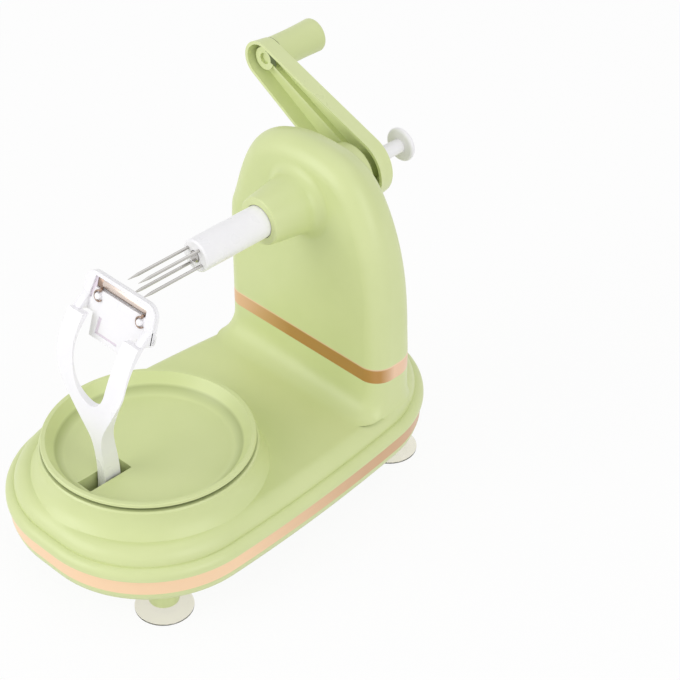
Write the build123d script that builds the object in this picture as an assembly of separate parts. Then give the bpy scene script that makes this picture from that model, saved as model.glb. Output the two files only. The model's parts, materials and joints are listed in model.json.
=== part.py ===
"""Hand-cranked apple peeler.

Millimetres. X runs across the base, +Y from the turntable towards the tower and crank, +Z up.
Everything is modelled with the turntable axis on X = Y = 0 and the table under the cups at Z = 0.
At the end all pieces are moved together, so that the origin is the middle of the footprint of the
whole machine, on the table.
"""
from build123d import *
import os
from math import acos, asin, atan, cos, degrees, pi, radians, sin, sqrt, tan

# General fits and walls
running_gap = 0.05
seat_gap = 0.02
air_gap = 0.3
cut_over = 2.0
pole_r = 0.5
shell_wall = 2.2

# Base outline: a short straight front between two corner arcs, bowed flanks and a round rear
base_corner_x = 8.0
base_corner_y = -7.0
base_corner_r = 59.5
base_rear_r = 60.2
base_rear_y = 105.0
tray_bottom_z = 12.0
tray_height = 12.0
tray_sweep = 23.0
tray_sweep_rise = 11.4
tray_steps = 5
tray_floor = 2.3
base_band_height = 9.0
band_thick = 2.4
lip_thick = 1.6
lip_height = 3.0
skirt_overhang = 1.6
skirt_height = 5.4
skirt_edge_r = 4.4
deck_inset = 2.9
deck_height = 13.5
deck_edge_r = 8.0

base_half_width = base_corner_x + base_corner_r
base_length = base_rear_y - base_corner_y
flank_r = (base_half_width ** 2 + base_length ** 2 - base_rear_r ** 2) / (2 * (base_half_width - base_rear_r))
tray_top_z = tray_bottom_z + tray_height
tray_sweep_z = tray_bottom_z + tray_sweep_rise
tray_floor_z = tray_bottom_z + tray_floor
skirt_z = tray_top_z + base_band_height
deck_z = skirt_z + deck_height
lip_inset = band_thick + running_gap
lip_inner_inset = lip_inset + lip_thick

# Suction cups and their stems
cup_r = 14.5
cup_height = 5.0
cup_lip = 0.8
cup_neck_r = 7.0
cup_knob_r = 4.0
cup_knob_height = 4.5
stem_r = 7.5
cup_front_x = 42.3
cup_front_y = -30.8
cup_rear_x = 35.0
cup_rear_y = 132.5

# Turntable ring of the housing and the turntable
well_r = 50.4
ring_top_r = 53.8
ring_waist_r = 54.9
ring_waist_z = 51.9
ring_foot_r = 59.6
ring_foot_z = 45.4
ring_top_z = 60.6
dish_flat_r = 39.5
dish_crease_r = 45.6
dish_crease_z = 58.5
table_rim_r = 52.5
table_rim_land = 2.4
table_floor_z = 55.5
table_floor_thick = 2.5
table_rim_z = 64.4
table_rim_thick = 1.9
table_skirt_r = 49.3
table_skirt_thick = 1.8
table_skirt_drop = 5.0
table_hub_r = 12.0
table_seat_r = 10.5
journal_r = 6.0
journal_z = 15.0
slot_half_width = 4.7
slot_inner_y = -15.5
slot_outer_y = -41.5
ear_thick = 2.2
ear_drop = 17.0
washer_r = 9.0
washer_thick = 1.2
table_screw_r = 2.0
table_screw_head_r = 3.8
table_screw_head = 1.9
table_screw_length = 14.0
boss_recess_r = 11.0
bearing_boss_r = 10.0

# Tower: rounded D in plan, bell outline seen from the front
tower_front_y = 102.0
tower_depth = 31.0
tower_half_width = 55.0
tower_front_corner = 10.6
tower_rear_corner = 15.0
foot_height = 19.5
foot_flare = 13.0
flare_side_share = 0.1
flare_rear_share = 0.12
flare_steps = 6
tower_band_height = 8.5
tower_top_z = 188.5
shoulder_z = 139.0
shoulder_half_width = 53.0
cheek_z = 173.5
cheek_half_width = 40.8
rear_top_z = 176.5
rear_shoulder_z = 133.0
rear_shoulder_half_width = 48.4
rear_cheek_z = 161.5
rear_cheek_half_width = 34.5
tower_lean = 4.5
shelf_thick = 3.0
shelf_z = 56.0
tower_lip_height = 5.5

foot_top_z = deck_z + foot_height
cover_z = foot_top_z + tower_band_height
tower_rear_y = tower_front_y + tower_depth

# Spindle line
spindle_z = 152.3
spindle_front_r = 3.75
spindle_rear_r = 5.6
spindle_front_y = 44.0
spindle_step_y = 129.0
spindle_rear_y = 155.0
spindle_flat = 4.9
rod_bore_r = 3.95
pin_bore_r = 2.1
spring_seat_y = 131.0
nose_front_y = 76.0
nose_front_r = 12.6
nose_cone_r = 15.5
nose_fillet = 6.0
nose_lip = 1.2
bush_front_y = 86.0
bush_length = 12.0
front_bush_r = 6.5
rear_boss_r = 15.5
rear_boss_root_r = 17.5
rear_boss_y = 140.5
rear_pocket_r = 13.6
rear_bush_r = 8.5
rear_bush_y = 130.4
rear_bush_length = 9.6

# Fork
sleeve_r = 8.5
sleeve_front_y = 34.8
sleeve_rear_y = 85.5
sleeve_chamfer = 0.8
tip_bore_r = 3.1
prong_r = 0.8
prong_circle_r = 5.5
prong_tip_y = -2.5
prong_taper = 6.0
prong_point_r = 0.15
prong_root = 11.0
prong_count = 4
prong_turn = 57.5

# Push rod through the spindle
rod_r = 3.75
rod_pin_r = 1.9
rod_step_y = 148.0
cap_front_y = 173.0
cap_r = 9.0
cap_thick = 4.2
cap_edge_r = 1.6
cap_rod_seat = 2.4
crown_share = 0.75
tip_r = 2.9
tip_front_y = 33.6
tip_length = 8.0
tip_edge = 0.5
rod_pin_front_y = 37.0
spring_wire = 0.6

# Crank and grip
crank_front_y = 142.5
crank_back_y = 151.5
crank_hub_r = 17.8
crank_tip_r = 10.6
crank_draft = 1.2
crank_wall = 1.6
crank_floor = 1.9
crank_length = 76.5
crank_angle = 154.4
hub_boss_r = 8.6
hub_boss_recess = 1.0
grip_boss_r = 6.2
grip_boss_recess = 3.4
crank_rib = 1.6
crank_rib_drop = 4.0
clip_thick = 1.3
clip_wall = 1.7
grip_r = 9.0
grip_length = 29.6
grip_end_round = 1.6
grip_waist = 0.35
grip_pin_r = 3.0
grip_pin_front_y = 147.4
grip_pin_length = 27.6
grip_pin_collar = 1.1
grip_pin_collar_length = 2.6

# Gears: involute spur train in the base and a mitre bevel pair in the tower
gear_module = 1.5
pressure = radians(24.0)
addendum_share = 0.9
dedendum_share = 1.15
backlash = 0.2
gear_width = 5.0
gear_level_gap = 1.5
table_teeth = 60
pinion_b_teeth = 12
gear_b_teeth = 28
pinion_a_teeth = 14
gear_a_teeth = 30
upright_teeth = 12
train_bend = 8.0
upright_y = 116.0
upright_r = 3.0
upright_foot_z = 16.0
upright_seat_r = 6.0
gear_hub_wall = 2.2
idler_pin_r = 2.5
idler_boss_r = 5.0
pin_top_z = 42.5
bevel_teeth = 15
bevel_module = 1.25
bevel_face = 3.9
bevel_hub_r = 6.6
bevel_hub = 3.0

level_1_z = 20.0
level_2_z = level_1_z + gear_width + gear_level_gap
level_3_z = level_2_z + gear_width + gear_level_gap
level_4_z = level_3_z + gear_width

# Gear frame in the tower
frame_half_width = 24.0
frame_front_y = 108.5
frame_back_y = 126.5
frame_floor = 4.0
frame_plate_half = 11.0
frame_plate = 3.0
frame_top_z = 136.0
frame_bush_r = 5.0
bush_flange_r = 6.5
bush_flange = 1.0
gusset_height = 34.0

# Screws
screw_r = 1.45
screw_head_r = 3.2
screw_head = 2.0
screw_length = 18.0
frame_screw_length = 9.0
pillar_top_z = 45.0
pillar_r = 4.2
tray_screw_front_x = 52.0
tray_screw_front_y = 8.0
tray_screw_rear_x = 46.0
tray_screw_rear_y = 100.0
frame_screw_x = 19.0
frame_screw_y = 117.0
cover_screw_x = 39.0
cover_screw_y = 107.6
cover_pillar_height = 38.0

# Peeler arm: a yoke, seen from the front and from the side
arm_pin_r = 1.5
arm_pivot_y = -26.5
arm_pivot_z = 44.0
arm_foot_r = 5.0
arm_boss_r = 3.4
arm_spring_wire = 1.0
stem_half_width = 2.7
stem_top_z = 68.0
knee_x = 5.4
knee_z = 83.0
hip_x = 15.0
hip_z = 100.0
thigh_x = 20.4
thigh_z = 110.0
arm_half_width = 24.4
arm_straight_z = 129.0
arm_top_z = 141.0
crotch_z = 101.6
fork_low_x = 8.2
fork_low_z = 106.9
fork_mid_x = 11.9
fork_mid_z = 117.0
fork_top_x = 14.6
stem_back_y = -30.8
stem_back_z = 66.0
back_hip_y = -34.0
back_hip_z = 98.5
back_tip_y = -22.4
stem_face_y = -21.8
stem_face_z = 67.0
face_knee_y = -25.8
face_knee_z = 85.0
face_hip_y = -29.6
face_hip_z = 97.0
face_tip_y = -17.2

# Blade carrier and blade: a head that leans towards the fruit from its lower edge
head_lean = 17.0
head_base_y = -22.0
head_base_z = 118.6
head_height = 39.6
head_plate = 3.2
head_half_width = 16.1
head_shoulder = 20.9
head_shoulder_height = 5.6
head_shoulder_depth = 7.2
head_shoulder_front = 7.0
head_shoulder_lip = 2.3
head_corner_r = 5.0
window_half_width = 17.5
window_low = 28.0
window_high = 36.6
groove_left = -10.5
groove_right = 3.4
groove_low = 12.4
groove_high = 19.9
groove_wide = 0.8
groove_deep = 0.6
blade_half_length = 17.1
blade_low = 30.1
blade_high = 35.1
blade_thick = 0.6
blade_depth = 1.7
blade_slit = 0.8
blade_slit_half = 13.5
blade_pivot_r = 0.8
blade_pivot_reach = 18.9
blade_pivot_root = 3.0
stud_r = 2.0
stud_x = 15.0
stud_height = 25.4
stud_proud = 1.5
stud_seat = 1.8
hook_wall = 0.8


def plan_face(edges, height):
    """A face in plan, lifted to a height, from a closed run of edges."""
    return Plane.XY.offset(height) * make_face(edges)


def base_outline(inset):
    """Edges of the base outline, drawn in from the outside by inset."""
    corner_r = base_corner_r - inset
    rear_r = base_rear_r - inset
    bow_r = flank_r - inset
    bow_x = base_half_width - flank_r
    turn = atan(base_length / -bow_x)
    diagonal = corner_r * sqrt(2) / 2
    front = (base_corner_x, base_corner_y - corner_r)
    corner = (base_corner_x + diagonal, base_corner_y - diagonal)
    side = (base_corner_x + corner_r, base_corner_y)
    flank = (bow_x + bow_r * cos(turn / 2), base_corner_y + bow_r * sin(turn / 2))
    hip = (rear_r * cos(turn), base_rear_y + rear_r * sin(turn))
    rear = (0, base_rear_y + rear_r)

    def left(point):
        return (-point[0], point[1])

    return [
        Line(left(front), front),
        ThreePointArc(front, corner, side),
        ThreePointArc(side, flank, hip),
        ThreePointArc(hip, rear, left(hip)),
        ThreePointArc(left(hip), left(flank), left(side)),
        ThreePointArc(left(side), left(corner), left(front)),
    ]


def base_slab(inset, low, high):
    """The base outline as a slab between two heights."""
    return extrude(plan_face(base_outline(inset), low), amount=high - low)


def crowned_slab(inset, low, high, edge_r):
    """A base slab whose top edge is rounded over."""
    slab = base_slab(inset, low, high)
    return fillet(slab.edges().group_by(Axis.Z)[-1], edge_r)


def tower_outline(grow, front_share=1.0, side_share=1.0, rear_share=1.0):
    """Edges of the tower's D section, grown outwards by grow times each side's share."""
    half = tower_half_width + grow * side_share
    front = tower_front_y - grow * front_share
    rear = tower_rear_y + grow * rear_share
    front_r = tower_front_corner + grow * side_share
    rear_r = tower_rear_corner + grow * side_share
    diagonal_share = 1 - sqrt(2) / 2
    front_mid = front_r * diagonal_share
    rear_mid = rear_r * diagonal_share
    return [
        Line((-half + front_r, front), (half - front_r, front)),
        ThreePointArc((half - front_r, front), (half - front_mid, front + front_mid),
                      (half, front + front_r)),
        Line((half, front + front_r), (half, rear - rear_r)),
        ThreePointArc((half, rear - rear_r), (half - rear_mid, rear - rear_mid), (half - rear_r, rear)),
        Line((half - rear_r, rear), (-half + rear_r, rear)),
        ThreePointArc((-half + rear_r, rear), (-half + rear_mid, rear - rear_mid), (-half, rear - rear_r)),
        Line((-half, rear - rear_r), (-half, front + front_r)),
        ThreePointArc((-half, front + front_r), (-half + front_mid, front + front_mid),
                      (-half + front_r, front)),
    ]


def tower_slab(inset, low, high):
    """The tower's section as a slab between two heights."""
    return extrude(plan_face(tower_outline(-inset), low), amount=high - low)


def turned_upright(points, x=0.0, y=0.0):
    """Turn an outline of (radius, height) points about an upright axis."""
    face = Plane.XZ * make_face(Polyline(*points, close=True))
    return Pos(x, y, 0) * revolve(face, Axis.Z)


def turned_spindle(points, x=0.0, z=spindle_z):
    """Turn an outline of (radius, y) points about an axis along Y."""
    return Pos(x, 0, z) * revolve(make_face(Polyline(*points, close=True)), Axis.Y)


def upright_rod(radius, low, high, x=0.0, y=0.0):
    """A plain cylinder between two heights."""
    return turned_upright([(0, low), (radius, low), (radius, high), (0, high)], x, y)


def upright_tube(inner, outer, low, high, x=0.0, y=0.0):
    """A tube between two heights."""
    return turned_upright([(inner, low), (outer, low), (outer, high), (inner, high)], x, y)


def level_rod(radius, front, back, x=0.0, z=spindle_z):
    """A plain cylinder along Y."""
    return turned_spindle([(0, front), (radius, front), (radius, back), (0, back)], x, z)


def level_tube(inner, outer, front, back, x=0.0, z=spindle_z):
    """A tube along Y."""
    return turned_spindle([(inner, front), (outer, front), (outer, back), (inner, back)], x, z)


def cross_rod(radius, half_length, y, z):
    """A cylinder along X, centred on the middle plane."""
    rod = Plane.YZ.offset(-half_length) * (Pos(y, z) * Circle(radius))
    return extrude(rod, amount=2 * half_length)


def block(x_low, x_high, y_low, y_high, z_low, z_high):
    """A rectangular block from its limits."""
    middle = ((x_low + x_high) / 2, (y_low + y_high) / 2, (z_low + z_high) / 2)
    return Pos(*middle) * Box(x_high - x_low, y_high - y_low, z_high - z_low)


def common(first, second):
    """The volume that two bodies share."""
    return Part() + (first & second)


# Where the upright axes stand
table_pinion_distance = gear_module * (table_teeth + pinion_b_teeth) / 2
idler_distance = gear_module * (gear_b_teeth + pinion_a_teeth) / 2
upright_distance = gear_module * (gear_a_teeth + upright_teeth) / 2


def idler_places():
    """Centres of idlers B and A: B on its circle round the turntable, A between B and the upright."""
    bend = radians(train_bend)
    b_x, b_y = -table_pinion_distance * sin(bend), table_pinion_distance * cos(bend)
    gap_x, gap_y = -b_x, upright_y - b_y
    gap = sqrt(gap_x ** 2 + gap_y ** 2)
    along = (idler_distance ** 2 - upright_distance ** 2 + gap ** 2) / (2 * gap)
    aside = sqrt(idler_distance ** 2 - along ** 2)
    a_x = b_x + along * gap_x / gap - aside * gap_y / gap
    a_y = b_y + along * gap_y / gap + aside * gap_x / gap
    return (b_x, b_y), (a_x, a_y)


idler_b, idler_a = idler_places()


def heading(start, end):
    """Direction in degrees, in plan, from one axis to another."""
    return degrees(radians(90) - atan((end[0] - start[0]) / (end[1] - start[1])))


def tooth_ring(teeth, phase):
    """Points of an involute gear outline with one tooth centred on the phase angle (degrees)."""
    pitch_r = gear_module * teeth / 2
    root_r = pitch_r - dedendum_share * gear_module
    tip_r = pitch_r + addendum_share * gear_module
    base_r = pitch_r * cos(pressure)
    at_pitch = pi / (2 * teeth) - backlash / (4 * pitch_r) + tan(pressure) - pressure

    def half_angle(radius):
        roll = acos(min(1.0, base_r / max(radius, base_r)))
        return at_pitch - tan(roll) + roll

    flank = [(root_r, half_angle(root_r)), (pitch_r, half_angle(pitch_r)), (tip_r, half_angle(tip_r))]
    points = []
    for tooth in range(teeth):
        middle = radians(phase) + 2 * pi * tooth / teeth
        for radius, half in flank:
            points.append((radius * cos(middle - half), radius * sin(middle - half)))
        for radius, half in reversed(flank):
            points.append((radius * cos(middle + half), radius * sin(middle + half)))
    return points


def spur_blank(teeth, phase, low, place=(0.0, 0.0)):
    """A toothed disc of the common width on its axis."""
    face = make_face(Polyline(*tooth_ring(teeth, phase), close=True))
    return Pos(place[0], place[1], low) * extrude(face, amount=gear_width)


def bevel_points(teeth, mate_teeth, phase, reach):
    """Outline of a straight bevel gear in the plane at distance reach from the apex."""
    cone = atan(teeth / mate_teeth)
    pitch_cone = bevel_module * sqrt(teeth ** 2 + mate_teeth ** 2) / 2
    root_angle = cone - atan(dedendum_share * bevel_module / pitch_cone)
    tip_angle = cone + atan(addendum_share * bevel_module / pitch_cone)
    base_angle = asin(cos(pressure) * sin(cone))

    def turn_at(angle):
        if angle <= base_angle:
            return 0.0
        roll = acos(min(1.0, cos(angle) / cos(base_angle)))
        return roll / sin(base_angle) - acos(min(1.0, tan(base_angle) / tan(angle)))

    pitch_r = bevel_module * teeth / 2
    at_pitch = pi / (2 * teeth) - backlash / (4 * pitch_r) + turn_at(cone)
    flank = [(a, at_pitch - turn_at(a)) for a in (root_angle, cone, tip_angle)]
    points = []
    for tooth in range(teeth):
        middle = radians(phase) + 2 * pi * tooth / teeth
        for angle, half in flank:
            radius = reach * tan(angle)
            points.append((radius * cos(middle - half), radius * sin(middle - half)))
        for angle, half in reversed(flank):
            radius = reach * tan(angle)
            points.append((radius * cos(middle + half), radius * sin(middle + half)))
    return points


def bevel_body(phase):
    """A mitre bevel gear with its apex at the origin, its axis on -Z and its heel hub furthest down."""
    heel = bevel_module * bevel_teeth / 2
    pitch_cone = heel * sqrt(2)
    toe = heel * (pitch_cone - bevel_face) / pitch_cone
    heel_face = Pos(0, 0, -heel) * make_face(
        Polyline(*bevel_points(bevel_teeth, bevel_teeth, phase, heel), close=True))
    toe_face = Pos(0, 0, -toe) * make_face(
        Polyline(*bevel_points(bevel_teeth, bevel_teeth, phase, toe), close=True))
    teeth = loft([heel_face, toe_face], ruled=True)
    return teeth + upright_rod(bevel_hub_r, -heel - bevel_hub, -heel)


# Base: tray, trim band, housing, cups
def stem_places():
    """Plan positions of the four cup stems, by name."""
    return {
        "front_left": (-cup_front_x, cup_front_y),
        "front_right": (cup_front_x, cup_front_y),
        "rear_left": (-cup_rear_x, cup_rear_y),
        "rear_right": (cup_rear_x, cup_rear_y),
    }


def tray_screw_places():
    """Plan positions of the four screws that close the base."""
    front = [(side * tray_screw_front_x, tray_screw_front_y) for side in (-1, 1)]
    rear = [(side * tray_screw_rear_x, tray_screw_rear_y) for side in (-1, 1)]
    return front + rear


def mirrored_places(x, y):
    """A place and its mirror image across the middle plane."""
    return [(-x, y), (x, y)]


def shelf_screw_places():
    """Plan positions of the screws through the shelf at the tower's foot."""
    return mirrored_places(frame_screw_x, frame_screw_y) + mirrored_places(cover_screw_x, cover_screw_y)


def tray_hull(inset, low, high):
    """The tray's outside or its hollow: upright above, swept in below on a quarter of an ellipse."""
    faces = []
    for step in range(tray_steps + 1):
        angle = radians(90) * step / tray_steps
        height = tray_sweep_z - (tray_sweep_z - low) * sin(angle)
        faces.append(plan_face(base_outline(inset + tray_sweep * (1 - cos(angle))), height))
    return loft(faces, ruled=True) + base_slab(inset, tray_sweep_z, high)


def make_tray():
    """Lower shell with cup stems, bearing boss, idler posts and screw bosses."""
    body = tray_hull(0, tray_bottom_z, tray_top_z)
    body += base_slab(lip_inset, tray_sweep_z, skirt_z + lip_height)
    body -= tray_hull(lip_inner_inset, tray_floor_z, skirt_z + lip_height + cut_over)
    for x, y in stem_places().values():
        body += upright_rod(stem_r, cup_height, tray_floor_z + tray_floor, x, y)
        body -= upright_rod(cup_knob_r + seat_gap, cup_height - cut_over, cup_height + cup_knob_height, x,
                            y)
    body += upright_rod(bearing_boss_r, tray_floor_z, level_1_z - air_gap)
    body -= upright_rod(boss_recess_r, tray_bottom_z - cut_over, journal_z)
    body += upright_tube(boss_recess_r, boss_recess_r + shell_wall, tray_floor_z, journal_z + shell_wall)
    body += upright_tube(journal_r + running_gap, boss_recess_r + shell_wall, journal_z,
                         journal_z + shell_wall)
    body -= upright_rod(journal_r + running_gap, journal_z - cut_over, level_1_z)
    body += upright_rod(idler_boss_r, tray_floor_z, level_1_z - air_gap, *idler_b)
    body += upright_rod(idler_boss_r, tray_floor_z, level_2_z - air_gap, *idler_a)
    for place in (idler_a, idler_b):
        body -= upright_rod(idler_pin_r + seat_gap, tray_floor_z, level_2_z, *place)
    body += upright_rod(upright_seat_r, tray_floor_z, level_1_z + gear_width, 0, upright_y)
    body -= upright_rod(upright_r + running_gap, upright_foot_z - running_gap, level_2_z, 0, upright_y)
    for x, y in tray_screw_places():
        body += upright_rod(pillar_r, tray_floor_z, tray_top_z, x, y)
        body -= upright_rod(screw_head_r + air_gap, tray_bottom_z - cut_over, tray_floor_z + air_gap, x, y)
        body -= upright_rod(screw_r + seat_gap, tray_bottom_z, tray_top_z + cut_over, x, y)
    return body


def make_base_band():
    """Trim ring that shows between the tray and the housing."""
    return base_slab(0, tray_top_z, skirt_z) - base_slab(band_thick, tray_top_z - cut_over,
                                                         skirt_z + cut_over)


def turntable_ring():
    """Flared ring of the deck that the turntable turns over."""
    low = skirt_z + skirt_edge_r
    profile = [
        Line((0, low), (ring_foot_r, low)),
        Line((ring_foot_r, low), (ring_foot_r, ring_foot_z)),
        ThreePointArc((ring_foot_r, ring_foot_z), (ring_waist_r, ring_waist_z),
                      (ring_top_r, ring_top_z - cup_lip)),
        Line((ring_top_r, ring_top_z - cup_lip), (ring_top_r - cup_lip, ring_top_z)),
        Line((ring_top_r - cup_lip, ring_top_z), (0, ring_top_z)),
        Line((0, ring_top_z), (0, low)),
    ]
    return revolve(Plane.XZ * make_face(profile), Axis.Z)


def tower_foot():
    """Foot of the tower: the D section that swells into the deck in a hollow curve."""
    faces = []
    for step in range(flare_steps + 1):
        angle = radians(90) * step / flare_steps
        grow = foot_flare * (1 - cos(angle))
        height = deck_z + foot_flare * (1 - sin(angle))
        faces.append(plan_face(tower_outline(grow, 1.0, flare_side_share, flare_rear_share), height))
    flare = loft(faces, ruled=True)
    root = tower_slab(-foot_flare * flare_side_share, skirt_z + lip_height, deck_z)
    root = common(root, base_slab(deck_inset, skirt_z, deck_z))
    return flare + tower_slab(0, deck_z + foot_flare, foot_top_z) + root


def housing_hollow():
    """Everything that is taken out of the housing from below."""
    skirt_low = skirt_z - cut_over
    hollow = base_slab(shell_wall, skirt_low, skirt_z + skirt_height - shell_wall)
    hollow += crowned_slab(deck_inset + shell_wall, skirt_low, deck_z - shell_wall,
                           deck_edge_r - shell_wall)
    return hollow + tower_slab(shell_wall, skirt_z + lip_height, foot_top_z + cut_over)


def tower_lip():
    """Upright lip inside the trim band, which centres the tower cover."""
    top_z = cover_z + tower_lip_height
    outer = tower_slab(shell_wall - seat_gap, shelf_z, foot_top_z) + tower_slab(lip_inset, foot_top_z,
        top_z)
    return outer - tower_slab(lip_inner_inset, shelf_z - cut_over, top_z + cut_over)


def make_housing():
    """Upper shell of the base with the turntable ring and the foot of the tower."""
    body = crowned_slab(-skirt_overhang, skirt_z, skirt_z + skirt_height, skirt_edge_r)
    body += crowned_slab(deck_inset, skirt_z, deck_z, deck_edge_r)
    body += turntable_ring()
    body += tower_foot()
    body -= housing_hollow()
    for x, y in tray_screw_places():
        body += upright_rod(pillar_r, tray_top_z, pillar_top_z, x, y)
        body -= upright_rod(screw_r + seat_gap, tray_top_z - cut_over, tray_floor_z + screw_length, x, y)
    body += upright_rod(idler_boss_r, level_4_z + gear_level_gap, deck_z - shell_wall / 2, *idler_a)
    body += upright_rod(idler_boss_r, level_3_z, deck_z - shell_wall / 2, *idler_b)
    body += tower_slab(shell_wall - seat_gap, shelf_z, shelf_z + shelf_thick)
    body += tower_lip()
    body -= upright_rod(well_r, deck_z - deck_edge_r, ring_top_z + cut_over)
    body -= upright_rod(upright_seat_r + air_gap, shelf_z - cut_over, shelf_z + shelf_thick + cut_over, 0,
                        upright_y)
    for place in (idler_a, idler_b):
        body -= upright_rod(idler_pin_r + seat_gap, level_3_z, pin_top_z, *place)
    shelf_top_z = shelf_z + shelf_thick
    for x, y in shelf_screw_places():
        body -= upright_rod(screw_r + seat_gap, shelf_z - cut_over, shelf_top_z + cut_over, x, y)
    for x, y in mirrored_places(cover_screw_x, cover_screw_y):
        body -= upright_rod(pillar_r + air_gap, shelf_top_z, cover_z + tower_lip_height + cut_over, x, y)
    return body


def make_cup(x, y):
    """Clear suction cup with a knob that sits in the tray's stem."""
    rim_x = cup_r - cup_lip
    profile = [
        Line((0, cup_height + cup_knob_height), (cup_knob_r, cup_height + cup_knob_height)),
        Line((cup_knob_r, cup_height + cup_knob_height), (cup_knob_r, cup_height)),
        Line((cup_knob_r, cup_height), (cup_neck_r, cup_height)),
        ThreePointArc((cup_neck_r, cup_height), ((cup_neck_r + cup_r) / 2, cup_height / 2),
                      (cup_r, cup_lip)),
        Line((cup_r, cup_lip), (cup_r, 0)),
        Line((cup_r, 0), (rim_x, 0)),
        ThreePointArc((rim_x, 0), (rim_x / 2, crown_share * cup_height / 2), (pole_r, cup_height / 2)),
        Line((pole_r, cup_height / 2), (0, cup_height / 2)),
        Line((0, cup_height / 2), (0, cup_height + cup_knob_height)),
    ]
    return Pos(x, y, 0) * revolve(Plane.XZ * make_face(profile), Axis.Z)


def make_screw(x, y, head_z, length):
    """Round-headed screw that points up from head_z."""
    return turned_upright(
        [(0, head_z), (screw_head_r, head_z), (screw_head_r, head_z + screw_head),
         (screw_r, head_z + screw_head),
         (screw_r, head_z + length), (0, head_z + length)], x, y)


# Turntable
def make_table_disc():
    """Dished disc with rim, skirt, slot ears, hub and journal."""
    rim_inner_r = table_rim_r - table_rim_land
    under_z = table_floor_z - table_floor_thick
    crease_under_z = dish_crease_z - table_floor_thick
    rim_under_z = table_rim_z - table_rim_thick
    skirt_inner_r = table_skirt_r - table_skirt_thick
    top = Line((0, table_floor_z), (dish_flat_r, table_floor_z))
    rise = TangentArc((dish_flat_r, table_floor_z), (dish_crease_r, dish_crease_z), tangent=(1, 0))
    edge = Polyline(
        (dish_crease_r, dish_crease_z), (rim_inner_r, table_rim_z),
        (table_rim_r - cup_lip / 2, table_rim_z),
        (table_rim_r, table_rim_z - cup_lip / 2), (table_rim_r, rim_under_z),
        (table_skirt_r, rim_under_z - air_gap),
        (table_skirt_r, under_z - table_skirt_drop), (skirt_inner_r, under_z - table_skirt_drop),
        (skirt_inner_r, crease_under_z), (dish_crease_r, crease_under_z), (dish_flat_r, under_z))
    hub = Polyline(
        (dish_flat_r, under_z), (table_hub_r, under_z), (table_hub_r, level_1_z + gear_width),
        (table_seat_r, level_1_z + gear_width), (table_seat_r, level_1_z), (journal_r, level_1_z),
        (journal_r, journal_z + running_gap), (0, journal_z + running_gap), (0, table_floor_z))
    body = revolve(Plane.XZ * make_face([top, rise, *edge.edges(), *hub.edges()]), Axis.Z)
    ear_outer = slot_half_width + ear_thick
    low = under_z - ear_drop
    ears = block(-ear_outer, ear_outer, slot_outer_y - ear_thick, slot_inner_y + ear_thick, low, under_z)
    body += ears
    body -= block(-slot_half_width, slot_half_width, slot_outer_y, slot_inner_y, low - cut_over,
                  table_floor_z + cut_over)
    body -= cross_rod(arm_pin_r + seat_gap, ear_outer + cut_over, arm_pivot_y, arm_pivot_z)
    body -= upright_rod(table_screw_r + seat_gap, journal_z - cut_over, journal_z + table_screw_length)
    return body


def make_table_gear():
    """Large gear that sits on the turntable's hub."""
    gear = spur_blank(table_teeth, heading((0.0, 0.0), idler_b), level_1_z)
    gear -= upright_rod(table_seat_r + seat_gap, level_1_z - cut_over, level_1_z + gear_width + cut_over)
    web_outer = gear_module * table_teeth / 2 - dedendum_share * gear_module - gear_hub_wall * 2
    web_inner = table_hub_r + gear_hub_wall
    gear -= upright_tube(web_inner, web_outer, level_1_z + gear_width / 2,
                         level_1_z + gear_width + cut_over)
    return gear


def make_table_washer():
    """Washer between the tray and the turntable screw."""
    return upright_tube(table_screw_r + running_gap, washer_r, journal_z - running_gap * 2 - washer_thick,
                        journal_z - running_gap * 2)


def make_table_screw():
    """Screw that holds the turntable down from below."""
    top = journal_z - running_gap * 2 - washer_thick
    return turned_upright(
        [(0, top - table_screw_head), (table_screw_head_r, top - table_screw_head),
         (table_screw_head_r, top),
         (table_screw_r, top), (table_screw_r, top + table_screw_length), (0, top + table_screw_length)])


# Gear train
def make_idler_b():
    """Compound idler beside the turntable: small pinion below, large gear above."""
    body = spur_blank(pinion_b_teeth, heading((0.0, 0.0), idler_b) + 180 + 180 / pinion_b_teeth,
                      level_1_z, idler_b)
    body += spur_blank(gear_b_teeth, heading(idler_b, idler_a), level_2_z, idler_b)
    body += upright_rod(idler_pin_r + gear_hub_wall, level_1_z,
                        level_2_z + gear_width + gear_level_gap / 2, *idler_b)
    return body - upright_rod(idler_pin_r + running_gap, level_1_z - cut_over, level_3_z + cut_over,
                              *idler_b)


def make_idler_a():
    """Compound idler beside the upright shaft: small pinion below, large gear above."""
    body = spur_blank(pinion_a_teeth, heading(idler_b, idler_a) + 180 + 180 / pinion_a_teeth, level_2_z,
                      idler_a)
    body += spur_blank(gear_a_teeth, heading(idler_a, (0.0, upright_y)), level_3_z, idler_a)
    body += upright_rod(idler_pin_r + gear_hub_wall, level_2_z, level_4_z + gear_level_gap / 2, *idler_a)
    return body - upright_rod(idler_pin_r + running_gap, level_2_z - cut_over, level_4_z + cut_over,
                              *idler_a)


def make_upright_pinion():
    """Pinion on the foot of the upright shaft."""
    phase = heading(idler_a, (0.0, upright_y)) + 180 + 180 / upright_teeth
    body = spur_blank(upright_teeth, phase, level_3_z, (0.0, upright_y))
    body += upright_rod(upright_r + gear_hub_wall, level_3_z, level_4_z + gear_level_gap, 0, upright_y)
    return body - upright_rod(upright_r + seat_gap, level_3_z - cut_over,
                              level_4_z + gear_level_gap + cut_over, 0, upright_y)


def bevel_toe():
    """Distance from the apex to the small end of a bevel gear, along its axis."""
    heel = bevel_module * bevel_teeth / 2
    return heel * (heel * sqrt(2) - bevel_face) / (heel * sqrt(2))


def make_upright_shaft():
    """Upright shaft from the tray to the bevel pair."""
    return upright_rod(upright_r, upright_foot_z, spindle_z - bevel_toe() - air_gap, 0, upright_y)


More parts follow.
